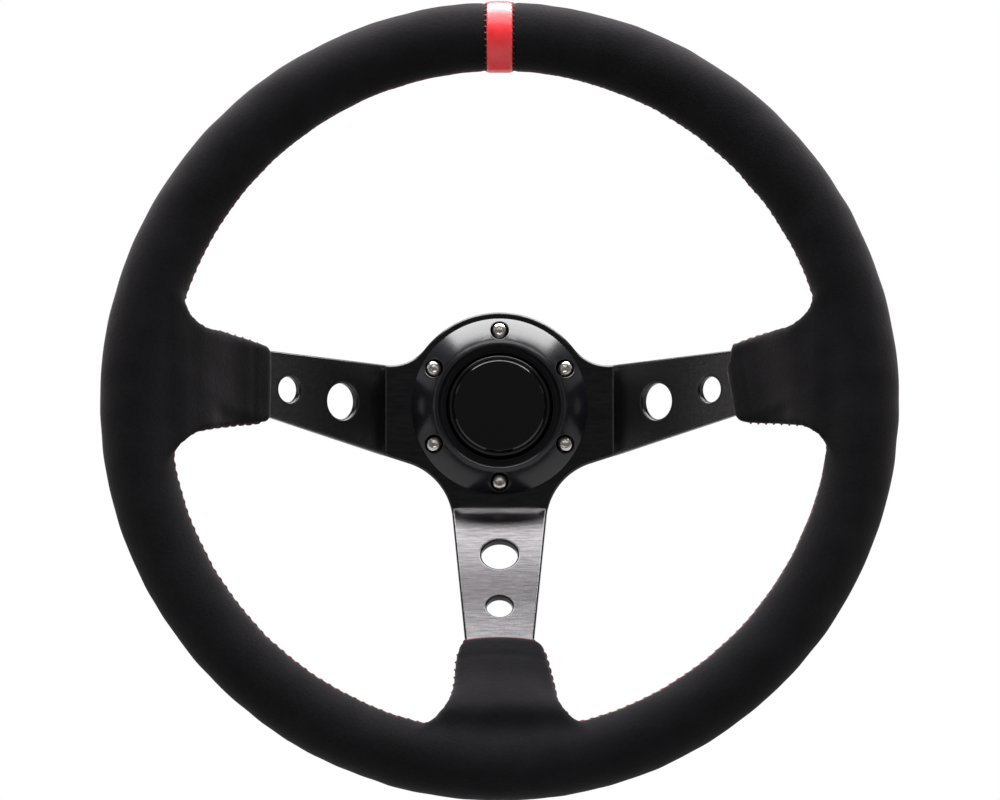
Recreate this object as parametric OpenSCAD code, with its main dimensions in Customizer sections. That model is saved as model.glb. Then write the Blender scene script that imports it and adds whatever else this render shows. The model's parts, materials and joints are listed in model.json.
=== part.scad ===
// Deep-dish three-spoke steering wheel with the wheel half of a ball-lock quick release.
// It is drawn lying down: X to the right, Y to the twelve o'clock mark, Z to the driver,
// with Z = 0 at the coupling's mouth. upright() then stands it up, driver's side at -Y.

/* [Rim] */
// Outside diameter of the covered rim
rim_od = 350; // [290:1:420]
// Radial width of the covered grip
grip_w = 30.2; // [27:0.1:36]
// Thickness of the covered grip, front to back
grip_t = 27; // [24:0.1:34]
// Thickness of the suede and its glue line
cover_t = 1.2; // [0.8:0.1:1.6]
// Diameter of the steel tube ring inside the foam
ring_tube_d = 12; // [10:0.1:14.4]
// Width of the coloured centre marker, along the rim
marker_w = 11; // [6:0.5:30]
// How far the marker stands above the suede
marker_proud = 0.8; // [0.3:0.1:1.2]
// Diameter of the seam's laid thread
thread_d = 1.4; // [0.8:0.1:2]

/* [Spoke plate] */
// Distance from the plate's front face forward to the rim's centre plane
dish = 76; // [50:1:95]
// Thickness of the spoke plate
plate_t = 4; // [3:0.1:5]
// Radius of the plate's round centre
hub_r = 44.1; // [42:0.1:52]
// Bend line of a side spoke, from the wheel's axis
side_bend = 52.5; // [51:0.5:62]
// Bend line of the bottom spoke, from the wheel's axis
bottom_bend = 47.5; // [47:0.5:58]
// Radius of the bends on the middle of the sheet
bend_r = 5; // [4:0.5:8]
// Height of a side spoke's upper edge at its bend
side_top_in = 19.4; // [16:0.1:21]
// Height of a side spoke's upper edge at the rim
side_top_out = 26.2; // [20:0.1:32]
// Height of a side spoke's lower edge at its bend
side_low_in = -23.3; // [-26:0.1:-18]
// Height of a side spoke's lower edge at the rim
side_low_out = 4.6; // [0:0.1:6]
// Half width of the bottom spoke at its bend
bottom_half_in = 22.35; // [18:0.05:26]
// Half width of the bottom spoke at the rim
bottom_half_out = 12.3; // [10:0.1:16]
// Radius of the fillets above the side spokes
upper_fillet = 20; // [14:0.5:26]
// Radius of the fillets beside the bottom spoke
lower_fillet = 29.5; // [20:0.5:32]
// Diameter of the larger lightening hole
large_hole_d = 16.6; // [12:0.1:20]
// Diameter of the smaller lightening hole
small_hole_d = 11.6; // [8:0.1:14]
// Diameter of the rivets that hold the spokes to the ring's lugs
rivet_d = 4; // [3:0.5:5]

/* [Spoke sleeves] */
// Thickness of a sleeve over the plate
sleeve_t = 1.8; // [1.2:0.1:3]
// Length of a sleeve, inward from the rim
sleeve_len = 39; // [30:1:45]

/* [Hub screws and bezel] */
// Pitch circle of the six hub screws
pcd = 70; // [68:0.5:72]
// Number of hub screws
screw_count = 6; // [6]
// Thread diameter of the hub screws
screw_d = 4; // [3:0.5:5]
// Diameter of the screw heads
head_d = 7; // [5.5:0.1:8.5]
// Height of the screw heads
head_h = 4; // [3:0.5:5]
// Length of the screws under the head
screw_len = 14; // [12:1:16]
// Outside diameter of the bezel ring
bezel_od = 82; // [80:0.5:84]
// Diameter of the bezel's window
bezel_id = 55.6; // [54:0.1:57]
// Height of the bezel above the plate
bezel_h = 12; // [10:0.5:14]

/* [Horn] */
// Diameter of the horn cap
cap_d = 43; // [40:0.1:44]
// Travel of the horn cap
horn_travel = 2; // [1:0.1:2.5]
// Height of the horn cap's edge above the plate
cap_h = 12.7; // [11:0.1:13]
// How much higher the middle of the cap is than its edge
cap_crown = 0.5; // [0.4:0.1:2]

/* [Quick release] */
// Length of the coupling, from its mouth to the plate
coupling_len = 44; // [43:0.5:54]
// Thickness of the coupling's bolting flange
flange_t = 10; // [9:0.5:12]
// Diameter of the bore that slides over the column's boss
bore_d = 38; // [36:0.1:40]
// Length of the plain bore at the mouth
bore_len = 10; // [8:0.5:10]
// Wall of the coupling's tube
tube_wall = 4.5; // [4:0.1:5]
// Diameter of the locking balls
ball_d = 6; // [5.5:0.1:6.4]
// Number of locking balls
ball_count = 6; // [6]
// How far a locked ball stands into the bore
ball_bite = 1.5; // [1:0.1:1.8]
// Travel of the release collar
collar_travel = 6; // [4:0.5:6]
// Radius of the collar's finger flange
collar_r = 36; // [33:0.5:38]
// Number of splines in the drive sleeve
spline_count = 18; // [12:2:24]

/* [Fits] */
// Running clearance on radius between sliding parts
running = 0.05; // [0.02:0.01:0.1]
// Clearance on radius around the horn cap
loose = 0.3; // [0.2:0.05:0.4]

/* [Hidden] */
$fn = 96;

// Heights along the wheel's axis
plate_back = coupling_len;
plate_front = plate_back + plate_t;
rim_z = plate_front + dish;
tab_mid = rim_z - plate_t / 2;

// Radii of the rim
rim_r = (rim_od - grip_w) / 2;
rim_in = rim_od / 2 - grip_w;
ring_in = rim_r - ring_tube_d / 2;
oval_sides = 36;

// Where each spoke's inclined stretch ends, and how steep it is
side_end = rim_in - 3.3;
bottom_end = rim_in - 8.3;
plate_end = ring_in - 0.4;
function slope_angle(x_in, x_out) = atan2(dish, x_out - x_in);
side_slope = slope_angle(side_bend, side_end);
bottom_slope = slope_angle(bottom_bend, bottom_end);

// Edges of the spokes in plan
function along(x, x0, y0, x1, y1) = y0 + (x - x0) * (y1 - y0) / (x1 - x0);
function side_top(x) = along(x, side_bend, side_top_in, side_end, side_top_out);
function side_low(x) = along(x, side_bend, side_low_in, side_end, side_low_out);
function bottom_half(y) = along(y, bottom_bend, bottom_half_in, bottom_end, bottom_half_out);
side_mid = (side_top_out + side_low_out) / 2;
side_angle = asin(side_mid / (rim_in + 5));
spoke_angles = [side_angle, 180 - side_angle, 270];

// Lightening holes, placed along the inclined stretch
large_at = 0.22;
small_at = 0.477;
side_hole_y = [1.8, 6.3];
bottom_hole_at = [0.234, 0.494];

// Lugs and rivets on the ring
lug_t = 3;
lug_in = rim_in + 2.2;
lug_half_angle = 3.6;
rivet_r = lug_in + 3.5;
rivet_half_angle = 2.3;
rivet_head_d = rivet_d + 3;
rivet_head_h = 1.6;
pocket_half_angle = 5.4;
pocket_spare = 0.4;

// Bezel, screws and horn heights above the plate's front face
bezel_rim_h = 3;
bezel_dome_r = 60;
bezel_chamfer = 1;
bezel_floor_h = 2.5;
foot_h = 3.3;
foot_t = 1.3;
counterbore_d = head_d + 1.5;
hex_across = 3;
hex_depth = 2.2;
screw_hole_d = screw_d + 0.5;
horn_hole_r = 25;
housing_r = horn_hole_r - 0.2;
housing_depth = 8;
housing_floor = 2;
horn_seat_r = bezel_id / 2 - 0.6;
horn_seat_h = 2;
ring_seat_t = 1.2;
ring_lip_w = 1.5;
ring_below = 1.2;
ring_wall_r = cap_d / 2 + loose + 0.8;
cap_r = cap_d / 2;
cap_flange_h = 6;
cap_flange_t = 1.5;
cap_roof_t = 2;
cap_skirt = 1.8;
cap_chamfer = 0.9;
disc_t = 0.8;
disc_h = cap_flange_h + 0.2;
contact_gap = horn_travel + 0.1;
horn_spring_r = 12.5;
horn_wire_d = 1.2;
horn_spring_turns = 3.5;
earth_t = 0.6;
tab_w = 6.3;
tab_t = 0.8;
tab_len = 7;
stud_r = 3;
earth_tab_x = 8;

// Coupling
bore_r = bore_d / 2;
tube_r = bore_r + tube_wall;
flange_r = bezel_od / 2;
flange_back = coupling_len - flange_t;
ball_r = ball_d / 2;
ball_z = bore_len + 4;
ball_zone_end = ball_z + 4;
ball_zone_r = bore_r + 0.25;
ball_seat_r = bore_r - ball_bite + ball_r;
sleeve_out_r = bore_r + 1;
spline_end = flange_back - 4;
spline_tip_r = bore_r - 3.5;
spline_root_r = spline_tip_r + 1.5;
spline_tooth_w = PI * (spline_tip_r + spline_root_r) / spline_count / 2;
recess_r = housing_r + 0.7;
collar_back = 3.4;
collar_front = flange_back - collar_travel - 3;
collar_lip = 1.8;
collar_bore = tube_r + running;
collar_sleeve_r = tube_r + 6;
finger_t = 6;
pocket_floor = collar_front - finger_t;
pocket_r = tube_r + 3.9;
cone_rise = ball_bite / collar_travel;
cone_start_r = ball_seat_r + (ball_r + running) * sqrt(1 + cone_rise * cone_rise);
collar_wire_d = 1.5;
collar_spring_turns = 4;
snap_t = 1.3;
snap_back = collar_back - snap_t - 0.25;
snap_depth = 0.8;
snap_w = 2.5;
finger_count = 12;
edge = 0.8;

// --- Shared shapes ---

// Stands the lying wheel up: its Z, towards the driver, becomes -Y
module upright() { rotate([90, 0, 0]) children(); }

// A ring whose section lies between two radii and two heights
module band(r_in, r_out, z0, z1) {
    rotate_extrude() translate([r_in, z0]) square([r_out - r_in, z1 - z0]);
}

// A part of such a ring, about one direction
module sector(r_in, r_out, z0, z1, middle, half_angle) {
    rotate([0, 0, middle - half_angle]) rotate_extrude(angle = 2 * half_angle)
        translate([r_in, z0]) square([r_out - r_in, z1 - z0]);
}

// Points of the grip's oval section, grown by an amount all round
function oval(grow) = [for (i = [0 : oval_sides - 1]) let (a = i * 360 / oval_sides)
    [rim_r + (grip_w / 2 + grow) * cos(a), rim_z + (grip_t / 2 + grow) * sin(a)]];

// Middle line of a bent spoke sheet, moved forward by shift: a flat, a bend up, the incline,
// a bend back, and the flat tab under the ring's lug
bend_steps = 8;
function sheet_line(bend, end, angle, start, shift) =
    let (half = plate_t / 2 * tan(angle / 2), reach = bend_r * tan(angle / 2),
         c1 = [bend + half - reach, plate_front - plate_t / 2 + bend_r],
         c2 = [end + half + reach, tab_mid - bend_r])
    concat([[start, plate_front - plate_t / 2 + shift]],
           [for (i = [0 : bend_steps]) let (a = angle * i / bend_steps)
               c1 + (bend_r - shift) * [sin(a), -cos(a)]],
           [for (i = [bend_steps : -1 : 0]) let (a = angle * i / bend_steps)
               c2 + (bend_r + shift) * [-sin(a), cos(a)]],
           [[rim_r, tab_mid + shift]]);
function reversed(list) = [for (i = [len(list) - 1 : -1 : 0]) list[i]];

// The bent sheet of a spoke that points along +X, as wide as asked, and thicker by skin a side
module bent_sheet(bend, end, angle, start, skin) {
    t = plate_t / 2 + skin;
    outline = concat(sheet_line(bend, end, angle, start, -t),
                     reversed(sheet_line(bend, end, angle, start, t)));
    rotate([90, 0, 0]) translate([0, 0, -hub_r - upper_fillet])
        linear_extrude(2 * (hub_r + upper_fillet)) polygon(outline);
}
module side_sheet(start, skin = 0) { bent_sheet(side_bend, side_end, side_slope, start, skin); }
module bottom_sheet(start, skin = 0) {
    rotate([0, 0, -90]) bent_sheet(bottom_bend, bottom_end, bottom_slope, start, skin);
}
module both_sides() {
    children();
    mirror([1, 0, 0]) children();
}

// A steel coil spring as a tube swept round a helix
coil_sides = 8;
coil_steps = 20;
function coil_ring(r, wire, z0, pitch, a) = [for (k = [0 : coil_sides - 1])
    let (b = 360 * k / coil_sides, q = r + wire / 2 * cos(b))
    [q * cos(a), q * sin(a), z0 + pitch * a / 360 + wire / 2 * sin(b)]];
module coil(r, wire, z0, z1, turns) {
    steps = round(turns * coil_steps);
    pitch = (z1 - z0 - wire) / turns;
    points = [for (i = [0 : steps], p = coil_ring(r, wire, z0 + wire / 2, pitch, i * 360 / coil_steps)) p];
    sides = [for (i = [0 : steps - 1], k = [0 : coil_sides - 1])
        let (a = i * coil_sides, n = (k + 1) % coil_sides)
        [a + k, a + coil_sides + k, a + coil_sides + n, a + n]];
    first = [for (k = [0 : coil_sides - 1]) k];
    last = [for (k = [coil_sides - 1 : -1 : 0]) steps * coil_sides + k];
    polyhedron(points, concat([first], sides, [last]));
}

module at_screws() {
    for (i = [0 : screw_count - 1]) rotate([0, 0, 90 + i * 360 / screw_count])
        translate([pcd / 2, 0, 0]) children();
}

// --- Spoke plate ---

// Centre of the fillet between the round centre and a side spoke's upper edge
upper_lean = atan2(side_top_out - side_top_in, side_end - side_bend);
upper_start = [side_bend, side_top_in] + upper_fillet * [-sin(upper_lean), cos(upper_lean)];
upper_dot = upper_start * [cos(upper_lean), sin(upper_lean)];
upper_shift = -upper_dot + sqrt(max(0, upper_dot * upper_dot - upper_start * upper_start
    + pow(hub_r + upper_fillet, 2)));
upper_centre = upper_start + upper_shift * [cos(upper_lean), sin(upper_lean)];

// Centre of the fillet between a side spoke's lower edge and the bottom spoke's side
low_lean = atan2(side_low_out - side_low_in, side_end - side_bend);
low_normal = [sin(low_lean), -cos(low_lean)];
tall_lean = atan2(bottom_half_in - bottom_half_out, bottom_end - bottom_bend);
tall_normal = [cos(tall_lean), -sin(tall_lean)];
low_reach = lower_fillet + low_normal * [side_bend, side_low_in];
tall_reach = lower_fillet + tall_normal * [bottom_half_in, -bottom_bend];
low_cross = low_normal[0] * tall_normal[1] - low_normal[1] * tall_normal[0];
lower_centre = [(low_reach * tall_normal[1] - tall_reach * low_normal[1]) / low_cross,
                (low_normal[0] * tall_reach - tall_normal[0] * low_reach) / low_cross];

function arc(centre, radius, from, to, steps) = [for (i = [0 : steps])
    let (a = from + (to - from) * i / steps) centre + radius * [cos(a), sin(a)]];
upper_foot = atan2(upper_centre[1], upper_centre[0]);
arc_steps = 18;
right_outline = concat(
    arc([0, 0], hub_r, 90, upper_foot, arc_steps),
    arc(upper_centre, upper_fillet, upper_foot + 183, 270 + upper_lean, arc_steps),
    [[rim_r, side_top(rim_r)], [rim_r, side_low(rim_r)]],
    arc(lower_centre, lower_fillet, 90 + low_lean, 180 - tall_lean, arc_steps),
    [[bottom_half(rim_r), -rim_r]]);
module plate_plan() {
    polygon(concat(right_outline,
        [for (i = [len(right_outline) - 1 : -1 : 1]) [-right_outline[i][0], right_outline[i][1]]]));
}

// A drill square to the inclined face, a share of the way along a spoke that points along +X
module drill(bend, end, angle, share, y, d) {
    x = bend + share * (end - bend);
    translate([x, y, plate_front + (x - bend) * tan(angle)]) rotate([0, -angle, 0])
        cylinder(h = 4 * plate_t, d = d, center = true);
}
module side_drills() {
    drill(side_bend, side_end, side_slope, large_at, side_hole_y[0], large_hole_d);
    drill(side_bend, side_end, side_slope, small_at, side_hole_y[1], small_hole_d);
}
module rivet_places() {
    for (a = spoke_angles, s = [-1, 1]) rotate([0, 0, a + s * rivet_half_angle])
        translate([rivet_r, 0, tab_mid - plate_t / 2]) children();
}
module spoke_frame() {
    flat_x = side_bend - 2;
    flat_y = bottom_bend - 2;
    color("#242326") upright() difference() {
        intersection() {
            linear_extrude(rim_z) difference() {
                intersection() {
                    plate_plan();
                    circle(plate_end);
                }
                circle(horn_hole_r);
                at_screws() circle(d = screw_hole_d);
            }
            union() {
                translate([-flat_x, -flat_y, plate_back])
                    cube([2 * flat_x, flat_y + hub_r + 1, plate_t]);
                both_sides() side_sheet(flat_x - 1);
                bottom_sheet(flat_y - 1);
            }
        }
        both_sides() side_drills();
        rotate([0, 0, -90]) {
            drill(bottom_bend, bottom_end, bottom_slope, bottom_hole_at[0], 0, large_hole_d);
            drill(bottom_bend, bottom_end, bottom_slope, bottom_hole_at[1], 0, small_hole_d);
        }
        rivet_places() cylinder(h = 3 * plate_t, d = rivet_d + 2 * running, center = true);
    }
}

// --- Rim ---

module rim_ring() {
    color("#3b3b3d") upright()
        rotate_extrude() translate([rim_r, rim_z]) circle(d = ring_tube_d);
}
module ring_lugs() {
    color("#3b3b3d") upright() difference() {
        for (a = spoke_angles) rotate([0, 0, a - lug_half_angle])
            rotate_extrude(angle = 2 * lug_half_angle) difference() {
                translate([lug_in, rim_z]) square([ring_in + 1.5 - lug_in, lug_t]);
                translate([rim_r, rim_z]) circle(d = ring_tube_d);
            }
        rivet_places() cylinder(h = 4 * plate_t, d = rivet_d + 2 * running, center = true);
    }
}
module spoke_rivets() {
    grip = plate_t + lug_t;
    color("#a8a8aa") upright() rivet_places() {
        translate([0, 0, -rivet_head_h]) cylinder(h = rivet_head_h, d = rivet_head_d);
        cylinder(h = grip, d = rivet_d);
        translate([0, 0, grip]) cylinder(h = rivet_head_h, d = rivet_head_d);
    }
}
// Room that the foam and the suede leave for the end of each spoke
module spoke_pockets() {
    low = rim_z - plate_t - rivet_head_h - pocket_spare;
    high = rim_z + lug_t + rivet_head_h + pocket_spare;
    for (a = spoke_angles)
        sector(rim_in - 6, ring_in + pocket_spare, low, high, a, pocket_half_angle);
}
module foam_grip() {
    color("#161616") upright() difference() {
        rotate_extrude() difference() {
            polygon(oval(-cover_t));
            translate([rim_r, rim_z]) circle(d = ring_tube_d);
        }
        spoke_pockets();
        for (a = spoke_angles)
            sector(ring_in - 1, rim_r, rim_z, rim_z + lug_t + pocket_spare, a, lug_half_angle + 0.5);
    }
}
marker_half = marker_w / rim_od * 180 / PI;
module grip_cover(from) {
    difference() {
        rotate([0, 0, from]) rotate_extrude(angle = 180 - marker_half) difference() {
            polygon(oval(0));
            polygon(oval(-cover_t));
        }
        spoke_pockets();
    }
}
module grip_cover_left() { color("#232224") upright() grip_cover(90 + marker_half); }
module grip_cover_right() { color("#232224") upright() grip_cover(-90); }
module centre_marker() {
    color("#c0272d") upright() rotate([0, 0, 90 - marker_half])
        rotate_extrude(angle = 2 * marker_half) difference() {
            polygon(oval(marker_proud));
            polygon(oval(-cover_t));
        }
}

// Laid thread along the inner seam, between the sleeves and the marker
seam_stretches = [[20.5, 87.2], [92.8, 159.5], [192, 251.5], [288.5, 348]];
module rim_stitching() {
    color("#b3202a") upright() for (s = seam_stretches) rotate([0, 0, s[0]])
        rotate_extrude(angle = s[1] - s[0]) translate([rim_in - thread_d / 2, rim_z])
            circle(d = thread_d, $fn = 24);
}

// --- Spoke sleeves: each grows wider from its hem to the rim ---

hem_x = rim_in - sleeve_len;
sleeve_at = [0, 0.13, 0.66, 0.8, 0.92, 1.1];
side_top_margin = [2, 3.2, 8.2, 12, 19, 22];
side_low_margin = [1.8, 4.3, 14, 16.5, 22, 30];
bottom_margin = [1.8, 3.5, 8.5, 12, 18.5, 27];
function sleeve_x(i) = hem_x + sleeve_at[i] * sleeve_len;
last_step = len(sleeve_at) - 1;
module tall(outline) { linear_extrude(2 * rim_z) polygon(outline); }
module side_sleeve() {
    top = [for (i = [0 : last_step]) [sleeve_x(i), side_top(sleeve_x(i)) + side_top_margin[i]]];
    low = [for (i = [0 : last_step]) [sleeve_x(i), side_low(sleeve_x(i)) - side_low_margin[i]]];
    difference() {
        intersection() {
            side_sheet(side_bend, sleeve_t);
            tall(concat(low, reversed(top)));
        }
        intersection() {
            side_sheet(side_bend);
            tall([[side_bend, side_low(side_bend)], [rim_r, side_low(rim_r)],
                  [rim_r, side_top(rim_r)], [side_bend, side_top(side_bend)]]);
        }
        rotate_extrude() polygon(oval(0));
    }
}
module sleeve_left() { color("#201f21") upright() mirror([1, 0, 0]) side_sleeve(); }
module sleeve_right() { color("#201f21") upright() side_sleeve(); }
module sleeve_bottom() {
    right = [for (i = [0 : last_step]) [bottom_half(sleeve_x(i)) + bottom_margin[i], -sleeve_x(i)]];
    left = [for (p = right) [-p[0], p[1]]];
    color("#201f21") upright() difference() {
        intersection() {
            bottom_sheet(bottom_bend, sleeve_t);
            tall(concat(right, reversed(left)));
        }
        intersection() {
            bottom_sheet(bottom_bend);
            tall([[-bottom_half(bottom_bend), -bottom_bend], [bottom_half(bottom_bend), -bottom_bend],
                  [bottom_half(rim_r), -rim_r], [-bottom_half(rim_r), -rim_r]]);
        }
        rotate_extrude() polygon(oval(0));
    }
}

// --- Bezel and screws ---

// Domed outside of the bezel, from the top of its rim to its window
dome_steps = 12;
dome_foot = [bezel_od / 2, bezel_rim_h];
dome_top = [bezel_id / 2 + 1.4, bezel_h];
dome_chord = norm(dome_top - dome_foot);
dome_half = asin(dome_chord / 2 / bezel_dome_r);
dome_lean = atan2(dome_top[1] - dome_foot[1], dome_foot[0] - dome_top[0]);
dome_centre = dome_foot + bezel_dome_r * [-cos(90 - dome_lean - dome_half), -sin(90 - dome_lean - dome_half)];
function dome() = [for (i = [0 : dome_steps])
    let (a = 90 - dome_lean - dome_half + 2 * dome_half * i / dome_steps)
    dome_centre + bezel_dome_r * [cos(a), sin(a)]];
module horn_bezel() {
    color("#1b1a1d") upright() translate([0, 0, plate_front]) difference() {
        rotate_extrude() polygon(concat([[bezel_id / 2, 0], [bezel_od / 2, 0]], dome(),
            [[bezel_id / 2 + bezel_chamfer, bezel_h], [bezel_id / 2, bezel_h - bezel_chamfer],
             [bezel_id / 2, foot_h + foot_t], [bezel_id / 2 - 2, foot_h + foot_t],
             [bezel_id / 2 - 2, foot_h], [bezel_id / 2, foot_h]]));
        at_screws() {
            translate([0, 0, -1]) cylinder(h = bezel_h, d = screw_hole_d);
            translate([0, 0, bezel_floor_h]) cylinder(h = bezel_h, d = counterbore_d);
        }
    }
}
module bezel_screws() {
    color("#d8d5cf") upright() translate([0, 0, plate_front + bezel_floor_h]) at_screws() {
        translate([0, 0, -screw_len]) cylinder(h = screw_len, d = screw_d);
        difference() {
            cylinder(h = head_h, d = head_d);
            translate([0, 0, head_h - hex_depth])
                cylinder(h = hex_depth + 1, d = hex_across / cos(30), $fn = 6);
        }
    }
}

// --- Horn ---

module horn_housing() {
    inside = housing_r - 1.8;
    floor_z = plate_front - housing_depth;
    color("#131314") upright() difference() {
        union() {
            translate([0, 0, floor_z]) cylinder(h = housing_depth + horn_seat_h, r = housing_r);
            translate([0, 0, plate_front]) cylinder(h = horn_seat_h, r = horn_seat_r);
        }
        translate([0, 0, floor_z + housing_floor])
            cylinder(h = housing_depth + horn_seat_h, r = inside);
        translate([0, 0, floor_z - 1]) cylinder(h = housing_floor + 2, r = stud_r / 2);
        translate([earth_tab_x - tab_t / 2 - running, -tab_w / 2 - running, floor_z - 1])
            cube([tab_t + 2 * running, tab_w + 2 * running, housing_floor + 2]);
    }
}
module horn_ring() {
    inside = cap_r + loose;
    seat = horn_seat_h + ring_seat_t;
    lip = cap_flange_h + cap_flange_t + 0.15;
    top = cap_h - ring_below;
    color("#19181a") upright() translate([0, 0, plate_front]) rotate_extrude() polygon([
        [ring_wall_r, horn_seat_h], [horn_seat_r, horn_seat_h], [horn_seat_r, seat],
        [ring_wall_r + 1.8, seat], [inside + ring_lip_w, top - 0.4], [inside + ring_lip_w - 0.4, top],
        [inside + 0.4, top], [inside, top - 0.4], [inside, lip], [ring_wall_r, lip]]);
}
crown_steps = 10;
crown_r = (cap_r * cap_r + cap_crown * cap_crown) / (2 * cap_crown);
function crown(r) = cap_h + cap_crown - crown_r + sqrt(crown_r * crown_r - r * r);
module horn_cap() {
    inner = cap_r - cap_skirt;
    roof = cap_h - cap_roof_t;
    color("#0d0d0f") upright() translate([0, 0, plate_front]) rotate_extrude() polygon(concat(
        [[inner, cap_flange_h], [ring_wall_r - loose, cap_flange_h],
         [ring_wall_r - loose, cap_flange_h + cap_flange_t], [cap_r, cap_flange_h + cap_flange_t]],
        [[cap_r, crown(cap_r) - cap_chamfer]],
        [for (i = [0 : crown_steps]) let (r = (cap_r - cap_chamfer) * (1 - i / crown_steps)) [r, crown(r)]],
        [[0, roof], [inner, roof]]));
}
module contact_disc() {
    color("#b08d4a") upright() translate([0, 0, plate_front + disc_h]) difference() {
        cylinder(h = disc_t, r = cap_r - cap_skirt);
        for (a = [30 : 120 : 270]) rotate([0, 0, a]) translate([cap_r / 2 + 4.5, 0, -1])
            cylinder(h = disc_t + 2, r = 1.6, $fn = 32);
    }
}
module contact_stud() {
    floor_z = plate_front - housing_depth;
    top = plate_front + disc_h - contact_gap;
    color("#b08d4a") upright() {
        translate([0, 0, floor_z + housing_floor])
            cylinder(h = top - floor_z - housing_floor, r = stud_r);
        translate([0, 0, floor_z]) cylinder(h = housing_floor, r = stud_r / 2 - running);
        translate([-tab_t / 2, -tab_w / 2, floor_z - tab_len]) cube([tab_t, tab_w, tab_len]);
    }
}
module earth_terminal() {
    floor_z = plate_front - housing_depth;
    color("#b08d4a") upright() {
        band(horn_spring_r - 3, horn_spring_r + 3, floor_z + housing_floor, floor_z + housing_floor + earth_t);
        translate([earth_tab_x - tab_t / 2, -tab_w / 2, floor_z - tab_len])
            cube([tab_t, tab_w, tab_len + housing_floor + earth_t]);
        translate([earth_tab_x - tab_t / 2, -tab_w / 2, floor_z + housing_floor])
            cube([horn_spring_r - 2.5 - earth_tab_x, tab_w, earth_t]);
    }
}
module horn_spring() {
    color("#8f8f93") upright() coil(horn_spring_r, horn_wire_d,
        plate_front - housing_depth + housing_floor + earth_t, plate_front + disc_h, horn_spring_turns);
}

// --- Quick release: the half that stays on the wheel ---

module at_balls() {
    for (i = [0 : ball_count - 1]) rotate([0, 0, i * 360 / ball_count]) children();
}
module coupling_body() {
    lip_r = sqrt(ball_r * ball_r - pow(ball_seat_r - bore_r - 0.3, 2)) + running;
    color("#1d1d20") upright() difference() {
        rotate_extrude() polygon([
            [bore_r, 0], [tube_r - edge, 0], [tube_r, edge], [tube_r, snap_back - running],
            [tube_r - snap_depth, snap_back - running],
            [tube_r - snap_depth, snap_back + snap_t + running], [tube_r, snap_back + snap_t + running],
            [tube_r, flange_back], [flange_r - edge, flange_back], [flange_r, flange_back + edge],
            [flange_r, plate_back], [recess_r, plate_back], [recess_r, plate_back - housing_depth + 3],
            [sleeve_out_r - 2.5, plate_back - housing_depth + 3], [sleeve_out_r - 2.5, spline_end],
            [sleeve_out_r, spline_end], [sleeve_out_r, ball_zone_end], [ball_zone_r, ball_zone_end],
            [ball_zone_r, bore_len], [bore_r, bore_len]]);
        at_screws() translate([0, 0, flange_back - 1]) cylinder(h = flange_t + 2, d = screw_d + 2 * running);
        at_balls() translate([0, 0, ball_z]) rotate([0, 90, 0]) {
            translate([0, 0, bore_r + 0.3]) cylinder(h = tube_wall + 1, r = ball_r + running);
            translate([0, 0, bore_r - 1]) cylinder(h = 2, r = lip_r);
        }
    }
}
module spline_sleeve() {
    color("#77777b") upright() translate([0, 0, ball_zone_end])
        linear_extrude(spline_end - ball_zone_end) difference() {
            circle(sleeve_out_r);
            circle(spline_tip_r);
            for (i = [0 : spline_count - 1]) rotate([0, 0, i * 360 / spline_count])
                translate([0, -spline_tooth_w / 2]) square([spline_root_r, spline_tooth_w]);
        }
}
module release_collar() {
    land_z = ball_z + (cone_start_r - collar_bore) / cone_rise;
    cone_end_r = cone_start_r + cone_rise * (ball_z - collar_back - collar_lip);
    scallop_r = 5;
    color("#b9b9bc") upright() difference() {
        rotate_extrude() polygon([
            [collar_bore, collar_back], [collar_sleeve_r - edge, collar_back],
            [collar_sleeve_r, collar_back + edge], [collar_sleeve_r, pocket_floor - 1.5],
            [collar_r - edge, pocket_floor], [collar_r, pocket_floor + edge],
            [collar_r, collar_front - edge], [collar_r - edge, collar_front],
            [pocket_r, collar_front], [pocket_r, pocket_floor], [collar_bore, pocket_floor],
            [collar_bore, land_z], [cone_end_r, collar_back + collar_lip],
            [collar_bore, collar_back + collar_lip]]);
        for (i = [0 : finger_count - 1]) rotate([0, 0, (i + 0.5) * 360 / finger_count])
            translate([collar_r + scallop_r - 1.8, 0, pocket_floor - 2])
                cylinder(h = finger_t + 4, r = scallop_r);
    }
}
module collar_spring() {
    color("#8f8f93") upright() coil((tube_r + pocket_r) / 2, collar_wire_d,
        pocket_floor, flange_back, collar_spring_turns);
}
module snap_ring() {
    gap = 24;
    color("#8f8f93") upright() rotate([0, 0, 90 + gap / 2]) rotate_extrude(angle = 360 - gap)
        translate([tube_r - snap_depth + running, snap_back]) square([snap_w, snap_t]);
}
module lock_ball(i) {
    color("#c9c9cc") upright() rotate([0, 0, (i - 1) * 360 / ball_count])
        translate([ball_seat_r, 0, ball_z]) sphere(ball_r);
}

spoke_frame();
rim_ring();
ring_lugs();
spoke_rivets();
foam_grip();
grip_cover_left();
grip_cover_right();
centre_marker();
rim_stitching();
sleeve_left();
sleeve_right();
sleeve_bottom();
horn_bezel();
bezel_screws();
horn_housing();
horn_ring();
horn_cap();
contact_disc();
contact_stud();
earth_terminal();
horn_spring();
coupling_body();
spline_sleeve();
release_collar();
collar_spring();
snap_ring();
lock_ball(1);  // lock_ball_1
lock_ball(2);  // lock_ball_2
lock_ball(3);  // lock_ball_3
lock_ball(4);  // lock_ball_4
lock_ball(5);  // lock_ball_5
lock_ball(6);  // lock_ball_6
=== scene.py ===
# %% [markdown]
# A three-spoke racing wheel, looked at as its maker would: steel ring, foam and suede at the rim, one bent
# aluminium plate for the spokes, a turned bezel with six screws on the hub, a horn push, and the ball-lock
# coupling behind it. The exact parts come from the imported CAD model. This script keeps their places and
# gives every visible surface its real form and finish.
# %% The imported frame
import json

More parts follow.
